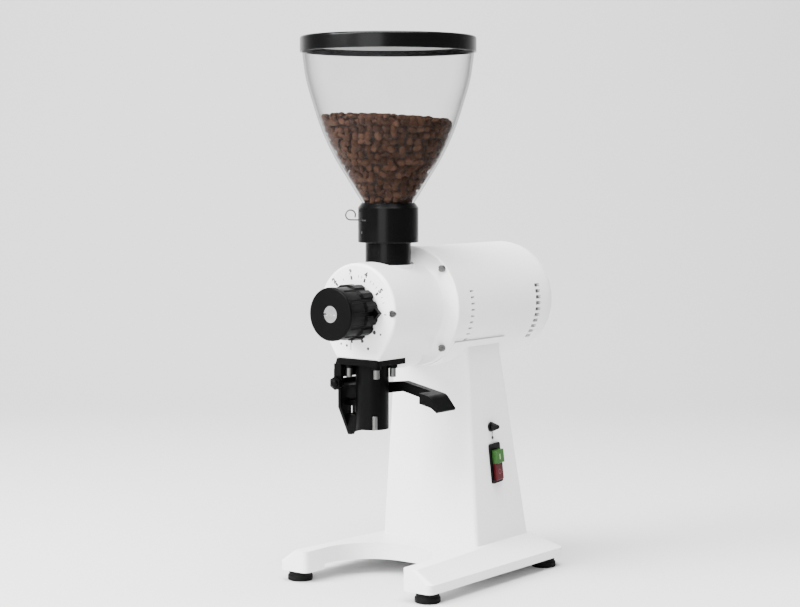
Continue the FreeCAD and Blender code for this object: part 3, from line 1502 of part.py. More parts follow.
# discharge spout: plate under the head, round tube, screw bosses and two pin ears
spout = new_body("spout")
plate_top = s.axis_height - s.head_bottom_drop - s.fit_gap
plate_low = plate_top - s.spout_plate
plate = new_sketch(spout, "XY_Plane", plate_low)
outline(plate, [
    (-s.spout_plate_half, -s.head_front_y, s.spout_plate_corner),
    (s.spout_plate_half, -s.head_front_y, s.spout_plate_corner),
    (s.spout_plate_half, -s.spout_plate_rear_y, s.spout_plate_corner),
    (-s.spout_plate_half, -s.spout_plate_rear_y, s.spout_plate_corner),
])
feature(spout, "Pad", plate, s.spout_plate)
tube = new_sketch(spout, "XY_Plane", spout_bottom)
circle(tube, 0, -s.spout_y, s.spout_radius)
feature(spout, "Pad", tube, plate_top - spout_bottom)
ears = {
    "front": s.clamp_front_y, "rear": s.clamp_rear_y + s.clamp_ear_thick,
}
ear_low = clamp_z - s.clamp_ear_half
ear_round = (s.clamp_ear_half + s.clamp_ear_inner) * 0.49
for front in ears.values():
    ear = new_sketch(spout, "XZ_Plane", front)
    outline(ear, [
        (-s.spout_plate_half, plate_top),
        (-s.clamp_x - s.clamp_ear_half, clamp_z + s.clamp_ear_half * 2.6),
        (-s.clamp_x - s.clamp_ear_half, ear_low, ear_round),
        (-s.clamp_x + s.clamp_ear_inner, ear_low, ear_round),
        (-s.clamp_x + s.clamp_ear_inner, plate_top),
    ])
    feature(spout, "Pad", ear, s.clamp_ear_thick, reverse=True)
web_outer = s.clamp_x + s.clamp_ear_half - s.seat_gap
web = new_sketch(spout, "XY_Plane", clamp_z + s.clamp_ear_half)
outline(web, [
    (-web_outer, -s.clamp_front_y), (s.clamp_web - web_outer, -s.clamp_front_y),
    (s.clamp_web - web_outer, -s.clamp_rear_y), (-web_outer, -s.clamp_rear_y),
])
feature(spout, "Pad", web, plate_low - clamp_z - s.clamp_ear_half + s.seat_gap)
screw_spots = []
for at_y in (-s.spout_screw_front_y, -s.spout_screw_rear_y):
    for side in (-1, 1):
        screw_spots.append((s.spout_screw_x * side, at_y))
boss_low = plate_low - s.spout_boss_height
for at_x, at_y in screw_spots:
    boss = new_sketch(spout, "XY_Plane", boss_low)
    circle(boss, at_x, at_y, s.spout_boss_radius)
    feature(spout, "Pad", boss, s.spout_boss_height + s.fit_gap)
pivot_face = s.lever_pivot_face_y
pivot = new_sketch(spout, "XZ_Plane", pivot_face)
circle(pivot, 0, lever_z, s.lever_eye_radius)
feature(spout, "Pad", pivot, s.lever_boss_depth)
ring_pocket(spout, "XY_Plane", 0, -s.spout_y, s.spout_bore, plate_top,
            spout_bottom - s.fit_gap, reverse=True)
for at_x, at_y in screw_spots:
    ring_pocket(spout, "XY_Plane", at_x, at_y, s.cap_screw_shank + s.fit_gap,
                s.cap_screw_grip, boss_low - s.fit_gap, reverse=True)
pin_spin_x = math.sin(math.radians(num(s.spout_pin_angle)))
pin_spin_y = math.cos(math.radians(num(s.spout_pin_angle)))
pin_reach = s.spout_radius + s.spout_pin_lift
ring_pocket(spout, "XY_Plane", pin_reach * pin_spin_x, -s.spout_y - pin_reach * pin_spin_y,
            s.spout_pin_radius + s.fit_gap, s.spout_pin_length + s.fit_gap * 2,
            spout_bottom + s.spout_pin_low - s.fit_gap, reverse=True)
ring_pocket(spout, "XZ_Plane", -s.clamp_x, clamp_z, s.clamp_pin_radius + s.fit_gap,
            s.clamp_front_y, s.clamp_front_y + s.overrun)
ring_pocket(spout, "XZ_Plane", 0, lever_z, s.lever_pin_radius + s.fit_gap,
            s.lever_boss_depth - s.fit_gap, pivot_face, reverse=True)

# cap screws that hold the spout plate up against the head, and its hanging pin
for index, (at_x, at_y) in enumerate(screw_spots):
    screw = new_body("spout_screw_%d" % (index + 1))
    side = new_sketch(screw, "XZ_Plane")
    outline(side, [
        (0, -s.cap_screw_height), (s.cap_screw_radius, -s.cap_screw_height, s.cap_screw_edge),
        (s.cap_screw_radius, 0), (s.cap_screw_shank, 0),
        (s.cap_screw_shank, s.cap_screw_grip), (0, s.cap_screw_grip),
    ])
    turn(screw, side)
    socket = new_sketch(screw, "XY_Plane", -s.cap_screw_height)
    outline(socket, [
        (s.cap_screw_socket * math.cos(math.radians(60 * i)),
         s.cap_screw_socket * math.sin(math.radians(60 * i))) for i in range(6)
    ])
    feature(screw, "Pocket", socket, s.cap_screw_socket_depth, reverse=True)
    place(screw, x=at_x, y=at_y, z=boss_low - s.fit_gap)
turned("spout_pin", [
    (0, 0), (s.spout_pin_radius, 0, s.cap_screw_edge),
    (s.spout_pin_radius, s.spout_pin_length, s.cap_screw_edge), (0, s.spout_pin_length),
], x=pin_reach * pin_spin_x, y=-s.spout_y - pin_reach * pin_spin_y,
    z=spout_bottom + s.spout_pin_low)

# bag clamp: hinge barrel between the ears, a long tapering plate and two ribs
clamp = new_body("clamp_flap")
flap_front = s.clamp_front_y - s.clamp_ear_thick - s.seat_gap
flap_rear = s.clamp_rear_y + s.clamp_ear_thick + s.seat_gap
barrel = new_sketch(clamp, "XZ_Plane", flap_front)
circle(barrel, -s.clamp_x, clamp_z, s.clamp_barrel_radius)
feature(clamp, "Pad", barrel, flap_front - flap_rear, reverse=True)
blade = new_sketch(clamp, "YZ_Plane", -s.clamp_x - s.clamp_plate)
outline(blade, [
    (-flap_front, clamp_z), (-flap_front, clamp_knee_z),
    (-s.clamp_tip_front_y, clamp_tip_z, s.clamp_tip_round),
    (-s.clamp_tip_rear_y, clamp_tip_z, s.clamp_tip_round),
    (-flap_rear, clamp_knee_z), (-flap_rear, clamp_z),
])
feature(clamp, "Pad", blade, s.clamp_plate)
window = new_sketch(clamp, "YZ_Plane", -s.clamp_x - s.clamp_plate - s.fit_gap)
outline(window, [
    (-s.spout_y - s.clamp_window_half, clamp_jaw_high + s.clamp_jaw_gap * 2),
    (-s.spout_y + s.clamp_window_half, clamp_jaw_high + s.clamp_jaw_gap * 2),
    (-s.spout_y + s.clamp_window_half, clamp_rib_low - s.clamp_jaw_gap * 2),
    (-s.spout_y - s.clamp_window_half, clamp_rib_low - s.clamp_jaw_gap * 2),
])
feature(clamp, "Pocket", window, s.clamp_plate + s.fit_gap * 2, reverse=True)
for low, high in ((clamp_jaw_low, clamp_jaw_high), (clamp_rib_low, clamp_rib_high)):
    rib = new_sketch(clamp, "XY_Plane", low)
    outline(rib, [
        (-s.clamp_x - s.fit_gap, -s.spout_y - s.clamp_jaw_half),
        (0, -s.spout_y - s.clamp_jaw_half),
        (0, -s.spout_y + s.clamp_jaw_half),
        (-s.clamp_x - s.fit_gap, -s.spout_y + s.clamp_jaw_half),
    ])
    feature(clamp, "Pad", rib, high - low)
ring_pocket(clamp, "XY_Plane", 0, -s.spout_y, s.spout_radius + s.clamp_jaw_gap,
            clamp_z, clamp_tip_z, reverse=True)
ring_pocket(clamp, "XZ_Plane", -s.clamp_x, clamp_z, s.clamp_pin_radius + s.running_gap,
            s.clamp_front_y, s.clamp_front_y + s.overrun)

# hinge pin with a domed hexagon end, and the coil spring behind the rear ear
pin = new_body("clamp_pin")
rod = new_sketch(pin, "YZ_Plane")
nut_rear = -s.clamp_front_y - s.seat_gap
nut_front = nut_rear - s.clamp_nut_length
outline(rod, [
    (nut_front - s.clamp_dome_height, 0),
    (nut_front - s.clamp_dome_height, s.clamp_dome_radius, s.clamp_dome_round),
    (nut_front, s.clamp_dome_radius), (nut_rear, s.clamp_dome_radius),
    (nut_rear, s.clamp_pin_radius), (-s.clamp_pin_rear_y, s.clamp_pin_radius),
    (-s.clamp_pin_rear_y, 0),
])
turn(pin, rod, axis="H_Axis")
nut = new_sketch(pin, "XZ_Plane", -nut_rear)
outline(nut, [
    (s.clamp_nut_radius * math.sin(math.radians(60 * i)),
     s.clamp_nut_radius * math.cos(math.radians(60 * i))) for i in range(6)
])
feature(pin, "Pad", nut, s.clamp_nut_length)
place(pin, x=-s.clamp_x, z=clamp_z)
spring = new_body("clamp_spring")
section = new_sketch(spring, "YZ_Plane")
coil_start = -s.clamp_rear_y + s.spring_wire + s.seat_gap
circle(section, coil_start, s.spring_coil_radius, s.spring_wire)
coil = feature(spring, "AdditiveHelix", section)
coil.ReferenceAxis = (section, ["H_Axis"])
coil.Mode = 0
bind(coil, "Pitch", s.spring_pitch)
bind(coil, "Height", s.spring_pitch * 4)
place(spring, x=-s.clamp_x, z=clamp_z)
print("clamp_spring least gap", num(s.spring_pitch - s.spring_wire * 2))

# shaker lever: eye on the spout's rear boss, cranked arm and a wide thumb paddle
lever = new_body("shaker_lever")
lever_front = pivot_face - s.seat_gap
lever_rear = lever_front - s.lever_arm_thick
paddle_front = lever_front + s.lever_paddle_reach
profile = new_sketch(lever, "XZ_Plane", paddle_front)
eye = s.lever_eye_radius
outline(profile, [
    (-eye, lever_z - eye, eye * 0.85),
    (s.lever_elbow_x, lever_z - s.lever_bend_drop, s.lever_elbow_round),
    (s.lever_under_x, lever_z - s.lever_under_drop, s.lever_elbow_round),
    (s.lever_lip_x, lever_z - s.lever_lip_drop, s.lever_edge),
    (s.lever_tip_x, lever_z - s.lever_tip_drop, s.lever_edge),
    (s.lever_bend_x, lever_z - s.lever_bend_drop, s.lever_bend_round),
    (s.lever_elbow_x, lever_z + s.lever_elbow_rise, s.lever_elbow_round),
    (-eye, lever_z + eye, eye * 0.85),
])
feature(lever, "Pad", profile, paddle_front - lever_rear, reverse=True)
waist = new_sketch(lever, "XY_Plane", lever_z - s.lever_lip_drop - s.overrun)
outline(waist, [
    (-eye - s.overrun, -paddle_front - s.overrun),
    (s.lever_paddle_x, -paddle_front - s.overrun),
    (s.lever_paddle_x, -lever_front),
    (-eye - s.overrun, -lever_front),
])
feature(lever, "Pocket", waist, s.lever_lip_drop + s.overrun * 3, reverse=True)
ring_pocket(lever, "XZ_Plane", 0, lever_z, s.lever_pin_radius + s.running_gap,
            s.lever_arm_thick + s.overrun * 2, lever_front + s.overrun)
slot_screw("lever_pin", s.lever_head_radius, s.lever_head_height, s.lever_pin_radius,
           pivot_face + s.lever_boss_depth - s.seat_gap - lever_rear + s.seat_gap,
           s.screw_slot, y=-lever_rear + s.seat_gap, z=lever_z, axis=(1, 0, 0), angle=-90)

doc.recompute()
failed = [
    part.Label for part in doc.Objects if "Invalid" in part.State or "Error" in part.State
]
failed += [
    piece.Label for piece in pieces if piece.Shape.isNull() or not piece.Shape.isValid()
    or len(piece.Shape.Solids) != 1
]
if failed:
    raise RuntimeError("failed: " + ", ".join(failed))
for piece in pieces:
    piece.Shape.exportStep(os.path.join("parts", piece.Label + ".step"))
print(len(pieces), "pieces written")
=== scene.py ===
import math
import random

import bmesh
import bpy
from mathutils import Matrix, Vector


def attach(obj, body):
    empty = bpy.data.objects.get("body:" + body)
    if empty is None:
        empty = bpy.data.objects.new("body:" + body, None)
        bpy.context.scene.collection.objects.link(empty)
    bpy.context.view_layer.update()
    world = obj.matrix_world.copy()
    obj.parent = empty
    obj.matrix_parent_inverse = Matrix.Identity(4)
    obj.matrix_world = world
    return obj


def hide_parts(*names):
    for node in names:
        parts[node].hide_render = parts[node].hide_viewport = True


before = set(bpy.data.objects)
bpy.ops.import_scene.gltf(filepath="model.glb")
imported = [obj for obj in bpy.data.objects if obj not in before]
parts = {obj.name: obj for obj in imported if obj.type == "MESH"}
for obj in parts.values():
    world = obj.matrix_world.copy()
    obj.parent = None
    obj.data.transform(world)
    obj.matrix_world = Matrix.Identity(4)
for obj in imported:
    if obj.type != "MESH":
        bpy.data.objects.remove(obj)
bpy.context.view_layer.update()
MM = 0.001

# sockets of the colour side of a Mix node
MIX_FROM, MIX_TO, MIX_COLOUR = 6, 7, 2


class Tone:
    """One varying value of a finish, with its arithmetic written as plain sums."""

    def __init__(self, finish, socket):
        self.finish = finish
        self.socket = socket

    def sum(self, operation, *values):
        return self.finish.node("Math", {"operation": operation}, *values)

    def __add__(self, other):
        return self.sum("ADD", self, other)

    def __radd__(self, other):
        return self.sum("ADD", other, self)

    def __sub__(self, other):
        return self.sum("SUBTRACT", self, other)

    def __rsub__(self, other):
        return self.sum("SUBTRACT", other, self)

    def __mul__(self, other):
        return self.sum("MULTIPLY", self, other)

    def __rmul__(self, other):
        return self.sum("MULTIPLY", other, self)

    def __pow__(self, other):
        return self.sum("POWER", self, other)

    def __rpow__(self, other):
        return self.sum("POWER", other, self)

    def within(self, low, high):
        """The value spread from low..high to 0..1, held at its ends."""
        return self.finish.node("MapRange", {"clamp": True}, self, low, high, 0.0, 1.0)


class Finish:
    """A material of one of the grinder's surfaces."""

    def __init__(self, name, **shine):
        self.material = bpy.data.materials.new(name)
        self.material.use_nodes = True
        self.tree = self.material.node_tree
        self.shader = self.tree.nodes["Principled BSDF"]
        self.coat(**shine)

    def put(self, socket, value):
        """Link or set one socket; three numbers on a colour socket are an opaque colour."""
        if isinstance(value, Tone):
            self.tree.links.new(value.socket, socket)
        elif socket.type == "RGBA" and len(value) == 3:
            socket.default_value = (*value, 1.0)
        else:
            socket.default_value = value

    def node(self, kind, settings=None, *values, out=0, at=None, **named):
        """Add a node: settings first, then its sockets by order, by number and by name."""
        made = self.tree.nodes.new("ShaderNode" + kind)
        for key, value in (settings or {}).items():
            if key == "stops":
                self.set_stops(made.color_ramp, value)
            else:
                setattr(made, key, value)
        for index, value in [*enumerate(values), *(at or {}).items()]:
            self.put(made.inputs[index], value)
        for key, value in named.items():
            self.put(made.inputs[key.replace("_", " ")], value)
        return Tone(self, made.outputs[out])

    def set_stops(self, ramp, stops):
        while len(ramp.elements) < len(stops):
            ramp.elements.new(0.5)
        for element, (place, colour) in zip(ramp.elements, stops):
            element.position = place
            element.color = (*colour, 1.0)

    def grain(self, size, detail=3.0, rough=0.5, stretch=(1, 1, 1)):
        """Even noise whose lumps are about size metres across."""
        place = self.node("TexCoord", out="Object")
        spread = self.node("Mapping", None, place, Scale=stretch)
        return self.node("TexNoise", None, spread, out="Fac",
                         Scale=1.0 / size, Detail=detail, Roughness=rough)

    def blend(self, share, first, second):
        """Colour between first and second."""
        return self.node("Mix", {"data_type": "RGBA"}, share, out=MIX_COLOUR,
                         at={MIX_FROM: first, MIX_TO: second})

    def coat(self, **looks):
        """Set or feed sockets of the surface itself."""
        for socket, value in looks.items():
            self.put(self.shader.inputs[socket.replace("_", " ")], value)

    def relief(self, height, depth):
        """Fine relief, depth metres deep."""
        bump = self.node("Bump", None, out="Normal", Height=height, Distance=depth, Strength=1.0)
        self.coat(Normal=bump)


def grey(depth):
    return (depth, depth, depth)


def shaded(colour, share):
    """The same colour, darkened to a share of itself."""
    return tuple(c * share for c in colour)


def powder_coat(name, light, dark, rough, lump, depth, shine=0.5):
    """Sprayed coat: faint cloudiness, orange-peel skin and a slightly uneven sheen."""
    finish = Finish(name, Specular_IOR_Level=shine)
    cloud = finish.grain(0.09, detail=2.0)
    skin = finish.grain(lump, detail=2.0, rough=0.4)
    finish.coat(Base_Color=finish.blend(cloud, dark, light))
    finish.coat(Roughness=rough + (skin - 0.5) * 0.10 + (cloud - 0.5) * 0.08)
    finish.relief(skin, depth)
    return finish.material


def moulded(name, tone, rough, shine, lump=0.0011, depth=0.00002):
    """Moulded plastic with a fine spark-eroded skin."""
    finish = Finish(name, Specular_IOR_Level=shine)
    skin = finish.grain(lump, detail=4.0, rough=0.6)
    smear = finish.grain(0.03)
    finish.coat(Base_Color=finish.blend(smear, shaded(tone, 0.72), tone))
    finish.coat(Roughness=rough + (smear - 0.5) * 0.14 + (skin - 0.5) * 0.06)
    finish.relief(skin, depth)
    return finish.material


def printed(name, tone, rough, shine):
    """Printing ink, all but flat."""
    return moulded(name, tone, rough, shine, lump=0.0008, depth=0.000004)


def turned_steel(name, tone, rough, ridge=0.0006):
    """Turned steel with fine tool marks and a few dull patches."""
    finish = Finish(name, Metallic=1.0)
    tooling = finish.grain(ridge, detail=2.0)
    wear = finish.grain(0.004, detail=4.0)
    finish.coat(Base_Color=finish.blend(wear, shaded(tone, 0.7), tone))
    finish.coat(Roughness=rough + (wear - 0.5) * 0.2)
    finish.relief(tooling, 0.00001)
    return finish.material


def clear_plastic():
    """Thin clear hopper wall: all but unseen face on, with painted shade that makes it darker and
    more opaque where it is seen at a glancing angle, and hairline scuffs.
    """
    finish = Finish("clear_hopper", IOR=1.46, Specular_IOR_Level=0.10)
    glancing_shade = finish.node("LayerWeight", None, Blend=0.5, out="Facing")
    scuff = finish.grain(0.0009, detail=4.0, rough=0.7, stretch=(1, 1, 0.08)).within(0.55, 0.75)
    haze = finish.grain(0.05, detail=2.0)
    # painted shade: darker colour and more opacity where the wall is seen at a glancing angle
    finish.coat(Base_Color=finish.blend(glancing_shade, (0.05, 0.05, 0.052), (0.03, 0.03, 0.031)))
    finish.coat(Alpha=0.035 + haze * 0.05 + scuff * 0.02 + glancing_shade ** 5.0 * 1.15)
    finish.coat(Roughness=0.10 + scuff * 0.2)
    return finish.material


def roasted():
    """Roasted beans: each one its own brown, speckled and finely wrinkled."""
    finish = Finish("roasted_bean", Specular_IOR_Level=0.05)
    which = finish.node("NewGeometry", out="Random Per Island")
    speck = finish.grain(0.0030, detail=2.0)
    brown = finish.node("ValToRGB", {"stops": [
        (0.0, (0.024, 0.0094, 0.0042)),
        (0.35, (0.037, 0.0154, 0.0071)),
        (0.7, (0.051, 0.0222, 0.0115)),
        (1.0, (0.071, 0.0340, 0.0200)),
    ]}, which, out="Color")
    finish.coat(Base_Color=finish.blend(speck * 0.4, brown, (0.010, 0.0045, 0.003)))
    finish.coat(Roughness=0.62 + speck * 0.15)
    finish.relief(speck, 0.00012)
    return finish.material


def painted_bean_shade():
    """Painted shade in the depth between the beans: a near-black finish for the lump that stands
    in for the shaded beans behind.
    """
    finish = Finish("painted_shade_between_beans", Specular_IOR_Level=0.1)
    lump = finish.grain(0.006)
    finish.coat(Base_Color=finish.blend(lump, (0.010, 0.0054, 0.0035), (0.020, 0.0105, 0.0068)))
    finish.coat(Roughness=0.8 + lump * 0.1)
    finish.relief(lump, 0.002)
    return finish.material


white = powder_coat("white_powder_coat", light=(0.86, 0.86, 0.857), dark=grey(0.83),
                    rough=0.34, lump=0.0016, depth=0.000012)
black_cast = powder_coat("black_powder_coat", light=(0.0011, 0.0011, 0.0012),
                         dark=(0.0007, 0.0007, 0.0008), rough=0.40, lump=0.0012,
                         depth=0.00002, shine=0.05)
black = moulded("black_moulding", (0.0024, 0.0024, 0.0026), 0.34, 0.10)
knob_black = moulded("knob_moulding", (0.0010, 0.0010, 0.0011), 0.42, 0.05)
collar_black = moulded("collar_moulding", (0.0016, 0.0016, 0.0017), 0.24, 0.10,
                       lump=0.004, depth=0.000012)
lid_black = moulded("gloss_lid", (0.0016, 0.0016, 0.0017), 0.22, 0.14,
                    lump=0.004, depth=0.000006)
rubber = moulded("foot_rubber", grey(0.004), 0.75, 0.1, lump=0.0006, depth=0.00005)
steel = turned_steel("screw_steel", (0.15, 0.15, 0.148), 0.36)
bright_steel = turned_steel("bright_screw", (0.70, 0.70, 0.69), 0.22, ridge=0.0012)
dull_steel = turned_steel("machined_steel", grey(0.45), 0.4)
wire_steel = turned_steel("shutter_steel", grey(0.13), 0.32, ridge=0.003)
casting = turned_steel("bare_casting", grey(0.5), 0.5, ridge=0.0012)
green = moulded("green_push", (0.024, 0.088, 0.015), 0.30, 0.22)
red = moulded("red_push", (0.060, 0.0036, 0.0062), 0.34, 0.16)
dial_ink = printed("printing_ink", grey(0.035), 0.55, 0.2)
reset_ink = printed("grey_ink", grey(0.07), 0.5, 0.2)
off_ink = printed("faded_ink", (0.16, 0.022, 0.03), 0.4, 0.3)
on_ink = printed("pale_ink", (0.30, 0.52, 0.20), 0.4, 0.4)
# painted reflection: the pale grey of the lid's glossy underside as seen through the clear wall
lid_reflection_grey = moulded("painted_lid_reflection", (0.34, 0.34, 0.335), 0.6, 0.3, lump=0.0012, depth=0.00005)

wearing = {
    white: ["base_pedestal", "motor_housing", "grinding_head"],
    black_cast: ["spout", "clamp_flap", "shaker_lever", "clamp_pin"],
    black: ["switch_bezel", "start_capacitor", "cable_gland", "cooling_fan", "reset_button",
            "reset_bush"],
    knob_black: ["grind_knob"],
    collar_black: ["hopper_collar", "hopper_neck"],
    wire_steel: ["shutter_slide", "clamp_spring"],
    lid_black: ["hopper_lid"],
    rubber: [n for n in parts if n.startswith("foot_") and "screw" not in n],
    green: ["on_button"],
    red: ["off_button"],
    bright_steel: ["knob_screw"],
    steel: [n for n in parts if "screw" in n and n not in ("feed_screw", "knob_screw")]
    + ["spout_pin", "lever_pin"],
    dull_steel: ["motor_shaft", "rotor_core", "wound_stator", "front_bearing", "rear_bearing",
                 "adjusting_spindle", "thrust_cup", "burr_hub", "base_cover_plate"],
    casting: ["fixed_burr", "turning_burr", "feed_screw", "bearing_shield", "feed_chamber"],
    clear_plastic(): ["hopper"],
}
for material, names in wearing.items():
    for name in names:
        mesh = parts[name].data
        mesh.materials.clear()
        mesh.materials.append(material)


def stand(name, data):
    """A new object in the scene."""
    made = bpy.data.objects.new(name, data)
    bpy.context.scene.collection.objects.link(made)
    return made


def turns(count):
    """Angles of evenly spaced points once round."""
    return [2 * math.pi * k / count for k in range(count)]


# the hopper: its axis, and the height and inside radius of its wall from the neck up
hopper_axis = Vector((0, -0.086, 0))
hopper_wall_line = [
    (0.470, 0.0272), (0.485, 0.0272), (0.508, 0.0415), (0.532, 0.0563), (0.550, 0.0664),
    (0.566, 0.0744), (0.585, 0.0815), (0.600, 0.0863), (0.615, 0.0908),
]
wall_clearance = 0.0003

# the heap: its height on the axis, its slope down to the rear right and its doming
heap_height = 0.6000
heap_slope = 0.0495
heap_doming = 0.45
bean_seed = 46
lowest_row, highest_row, row_rise = 0.4865, 0.604, 0.0080
wall_layers = ((0.0044, 0.0106), (0.0112, 0.0110))  # how far in from the wall, spacing round it
top_layers = (0.0022, 0.0075)  # how far below the top of the heap
top_spacing = 0.0092
core_foot, core_step, core_levels, core_around = 0.4700, 0.007, 18, 28


def hopper_inside(z):
    """Inside radius of the clear hopper at a height."""
    for (low, near), (high, far) in zip(hopper_wall_line, hopper_wall_line[1:]):
        if z <= high:
            return near + (far - near) * (z - low) / (high - low)
    return hopper_wall_line[-1][1]


def heap_top(x, y):
    """Height of the heap of beans, a little higher on its front left side."""
    return heap_height - heap_slope * (0.79 * x + 0.61 * y) - heap_doming * math.hypot(x, y) ** 2


def kept_in(p):
    """A point of a bean, held just inside the clear wall."""
    r, most = math.hypot(p.x, p.y), hopper_inside(p.z) - wall_clearance
    return p if r <= most else Vector((p.x * most / r, p.y * most / r, p.z))


def bean_form():
    """One roasted bean, one unit long each way: a dome with a flat side, creased along it."""
    stations, around = 8, 10
    points, faces = [(-1, 0, 0)], []
    for i in range(1, stations):
        along = -math.cos(math.pi * i / stations)
        girth = math.sin(math.pi * i / stations) ** 0.75
        for k in range(around):
            a = 2 * math.pi * (k + 0.5) / around
            side, up = math.cos(a), math.sin(a)
            if up < 0:
                up *= 0.5
                if abs(side) < 0.4:
                    up += 0.22
            points.append((along, side * girth * 0.80, up * girth * 0.70))
    points.append((1, 0, 0))
    last = 1 + (stations - 2) * around
    for k in range(around):
        n = (k + 1) % around
        faces.append((0, 1 + n, 1 + k))
        for i in range(stations - 2):
            a = 1 + i * around
            faces.append((a + k, a + n, a + around + n, a + around + k))
        faces.append((last + k, last + n, len(points) - 1))
    return points, faces


def beans_on_wall(dice):
    """Places and outward directions of the beans against the clear wall, row above row."""
    places = []
    z, row = lowest_row, 0
    while z < highest_row:
        for inward, spacing in wall_layers:
            r = hopper_inside(z) - inward
            if r < 0.006:
                continue
            count = max(6, int(2 * math.pi * r / spacing))
            start = dice.uniform(-0.2, 0.2) + row * math.pi / count
            for k in range(count):
                a = start + 2 * math.pi * (k + dice.uniform(-0.20, 0.20)) / count
                up = z + dice.uniform(-0.0018, 0.0018)
                reach = min(r, hopper_inside(up) - inward) - dice.uniform(0, 0.0010)
                x, y = reach * math.cos(a), reach * math.sin(a)
                if up < heap_top(x, y) - 0.003:
                    outward = Vector((math.cos(a), math.sin(a), -0.45))
                    places.append((Vector((x, y, up)), outward))
        z += row_rise
        row += 1
    return places


def beans_on_top(dice):
    """Places and outward directions of the beans over the top of the heap."""
    places = []
    rows = int(0.09 / top_spacing)
    for drop in top_layers:
        for i in range(-rows, rows + 1):
            for k in range(-rows, rows + 1):
                x = (i + (k % 2) / 2 + dice.uniform(-0.3, 0.3)) * top_spacing
                y = (k * 0.87 + dice.uniform(-0.3, 0.3)) * top_spacing
                up = heap_top(x, y) - drop + dice.uniform(-0.0012, 0.0016)
                if math.hypot(x, y) < hopper_inside(up) - 0.0052:
                    places.append((Vector((x, y, up)), Vector((0, 0, 1))))
    return places


def bean_pose(dice, outward):
    """Size, spin and lean of a bean whose dome looks outward, or now and then inward."""
    half = dice.uniform(0.0049, 0.0060)
    wide, tall = dice.uniform(0.9, 1.05), dice.uniform(0.9, 1.1)
    flip = -1 if dice.random() < 0.22 else 1
    facing = (outward.normalized() * flip).to_track_quat("Z", "Y").to_matrix()
    spin = Matrix.Rotation(dice.uniform(0, 6.28), 3, "Z")
    roll = Matrix.Rotation(dice.gauss(0, 0.40), 3, "X")
    pitch = Matrix.Rotation(dice.gauss(0, 0.28), 3, "Y")
    return facing @ (roll @ pitch) @ spin @ Matrix.Diagonal((half, half * wide, half * tall))


def painted_shade_core(dice, first):
    """Points and faces of the lump behind the beans, which carries painted shade; first is the
    number of its first point.
    """
    points, faces = [], []
    for z in [core_foot + core_step * i for i in range(core_levels)]:
        for a in turns(core_around):
            r = max(0.004, hopper_inside(z) - 0.0105 + dice.uniform(-0.001, 0.001))
            x, y = r * math.cos(a), r * math.sin(a)
            points.append(hopper_axis + Vector((x, y, min(z, heap_top(x, y) - 0.008))))
    foot, crown = first + len(points), first + len(points) + 1
    points.append(hopper_axis + Vector((0, 0, core_foot)))
    points.append(hopper_axis + Vector((0, 0, heap_top(0, 0) - 0.009)))
    for i in range(core_levels - 1):
        low, high = first + i * core_around, first + (i + 1) * core_around
        for k in range(core_around):
            n = (k + 1) % core_around
            faces.append((low + k, low + n, high + n, high + k))
    last = first + (core_levels - 1) * core_around
    for k in range(core_around):
        n = (k + 1) % core_around
        faces.append((foot, first + n, first + k))
        faces.append((crown, last + k, last + n))
    return points, faces


def pour_beans():
    """Beans against the hopper wall and over the top of the heap, round a core coloured with
    painted shade.
    """
    dice = random.Random(bean_seed)
    form, sides = bean_form()
    points, faces = [], []
    for place, outward in beans_on_wall(dice) + beans_on_top(dice):
        pose = bean_pose(dice, outward)
        first = len(points)
        points += [hopper_axis + kept_in(place + pose @ Vector(p)) for p in form]
        faces += [tuple(first + i for i in side) for side in sides]
    loose = len(faces)
    core_points, core_faces = painted_shade_core(dice, len(points))
    mesh = bpy.data.meshes.new("loose_beans")
    mesh.from_pydata([tuple(p) for p in points + core_points], [], faces + core_faces)
    mesh.materials.append(roasted())
    # the lump behind the beans takes the painted shade
    mesh.materials.append(painted_bean_shade())
    for index, face in enumerate(mesh.polygons):
        face.use_smooth = True
        face.material_index = 0 if index < loose else 1
    return stand("loose_beans", mesh)


heap = pour_beans()
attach(heap, "machine")
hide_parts("coffee_beans")


def turned_disc(name, outline, centre, count=72):
    """A closed round piece, turned from an outline of (reach, height)."""
    made = bmesh.new()
    rings = []
    for reach, up in outline:
        rings.append([
            made.verts.new(centre + Vector((reach * math.cos(a), reach * math.sin(a), up)))
            for a in (turns(count) if reach else [0.0])
        ])
    for near, far in zip(rings, rings[1:]):
        for k in range(count):
            n = (k + 1) % count
            corners = [near[k % len(near)], near[n % len(near)],
                       far[n % len(far)], far[k % len(far)]]
            face = made.faces.new(list(dict.fromkeys(corners)))
            face.smooth = True
    bmesh.ops.recalc_face_normals(made, faces=made.faces)
    mesh = bpy.data.meshes.new(name)
    made.to_mesh(mesh)
    made.free()
    return stand(name, mesh)


# pale disc inside the skirt of the lid, seen from below through the clear wall: a painted
# reflection of the lid's glossy underside
painted_reflection_disc = turned_disc("lid_reflection_disc", [
    (0, 0.0003), (0.094, 0.0003), (0.0955, 0.0), (0.0995, 0.0), (0.1014, 0.0006),
    (0.1020, 0.0018), (0.1012, 0.0028), (0, 0.0028),
], hopper_axis + Vector((0, 0, 0.6878)))
painted_reflection_disc.data.materials.append(lid_reflection_grey)
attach(painted_reflection_disc, "lid")


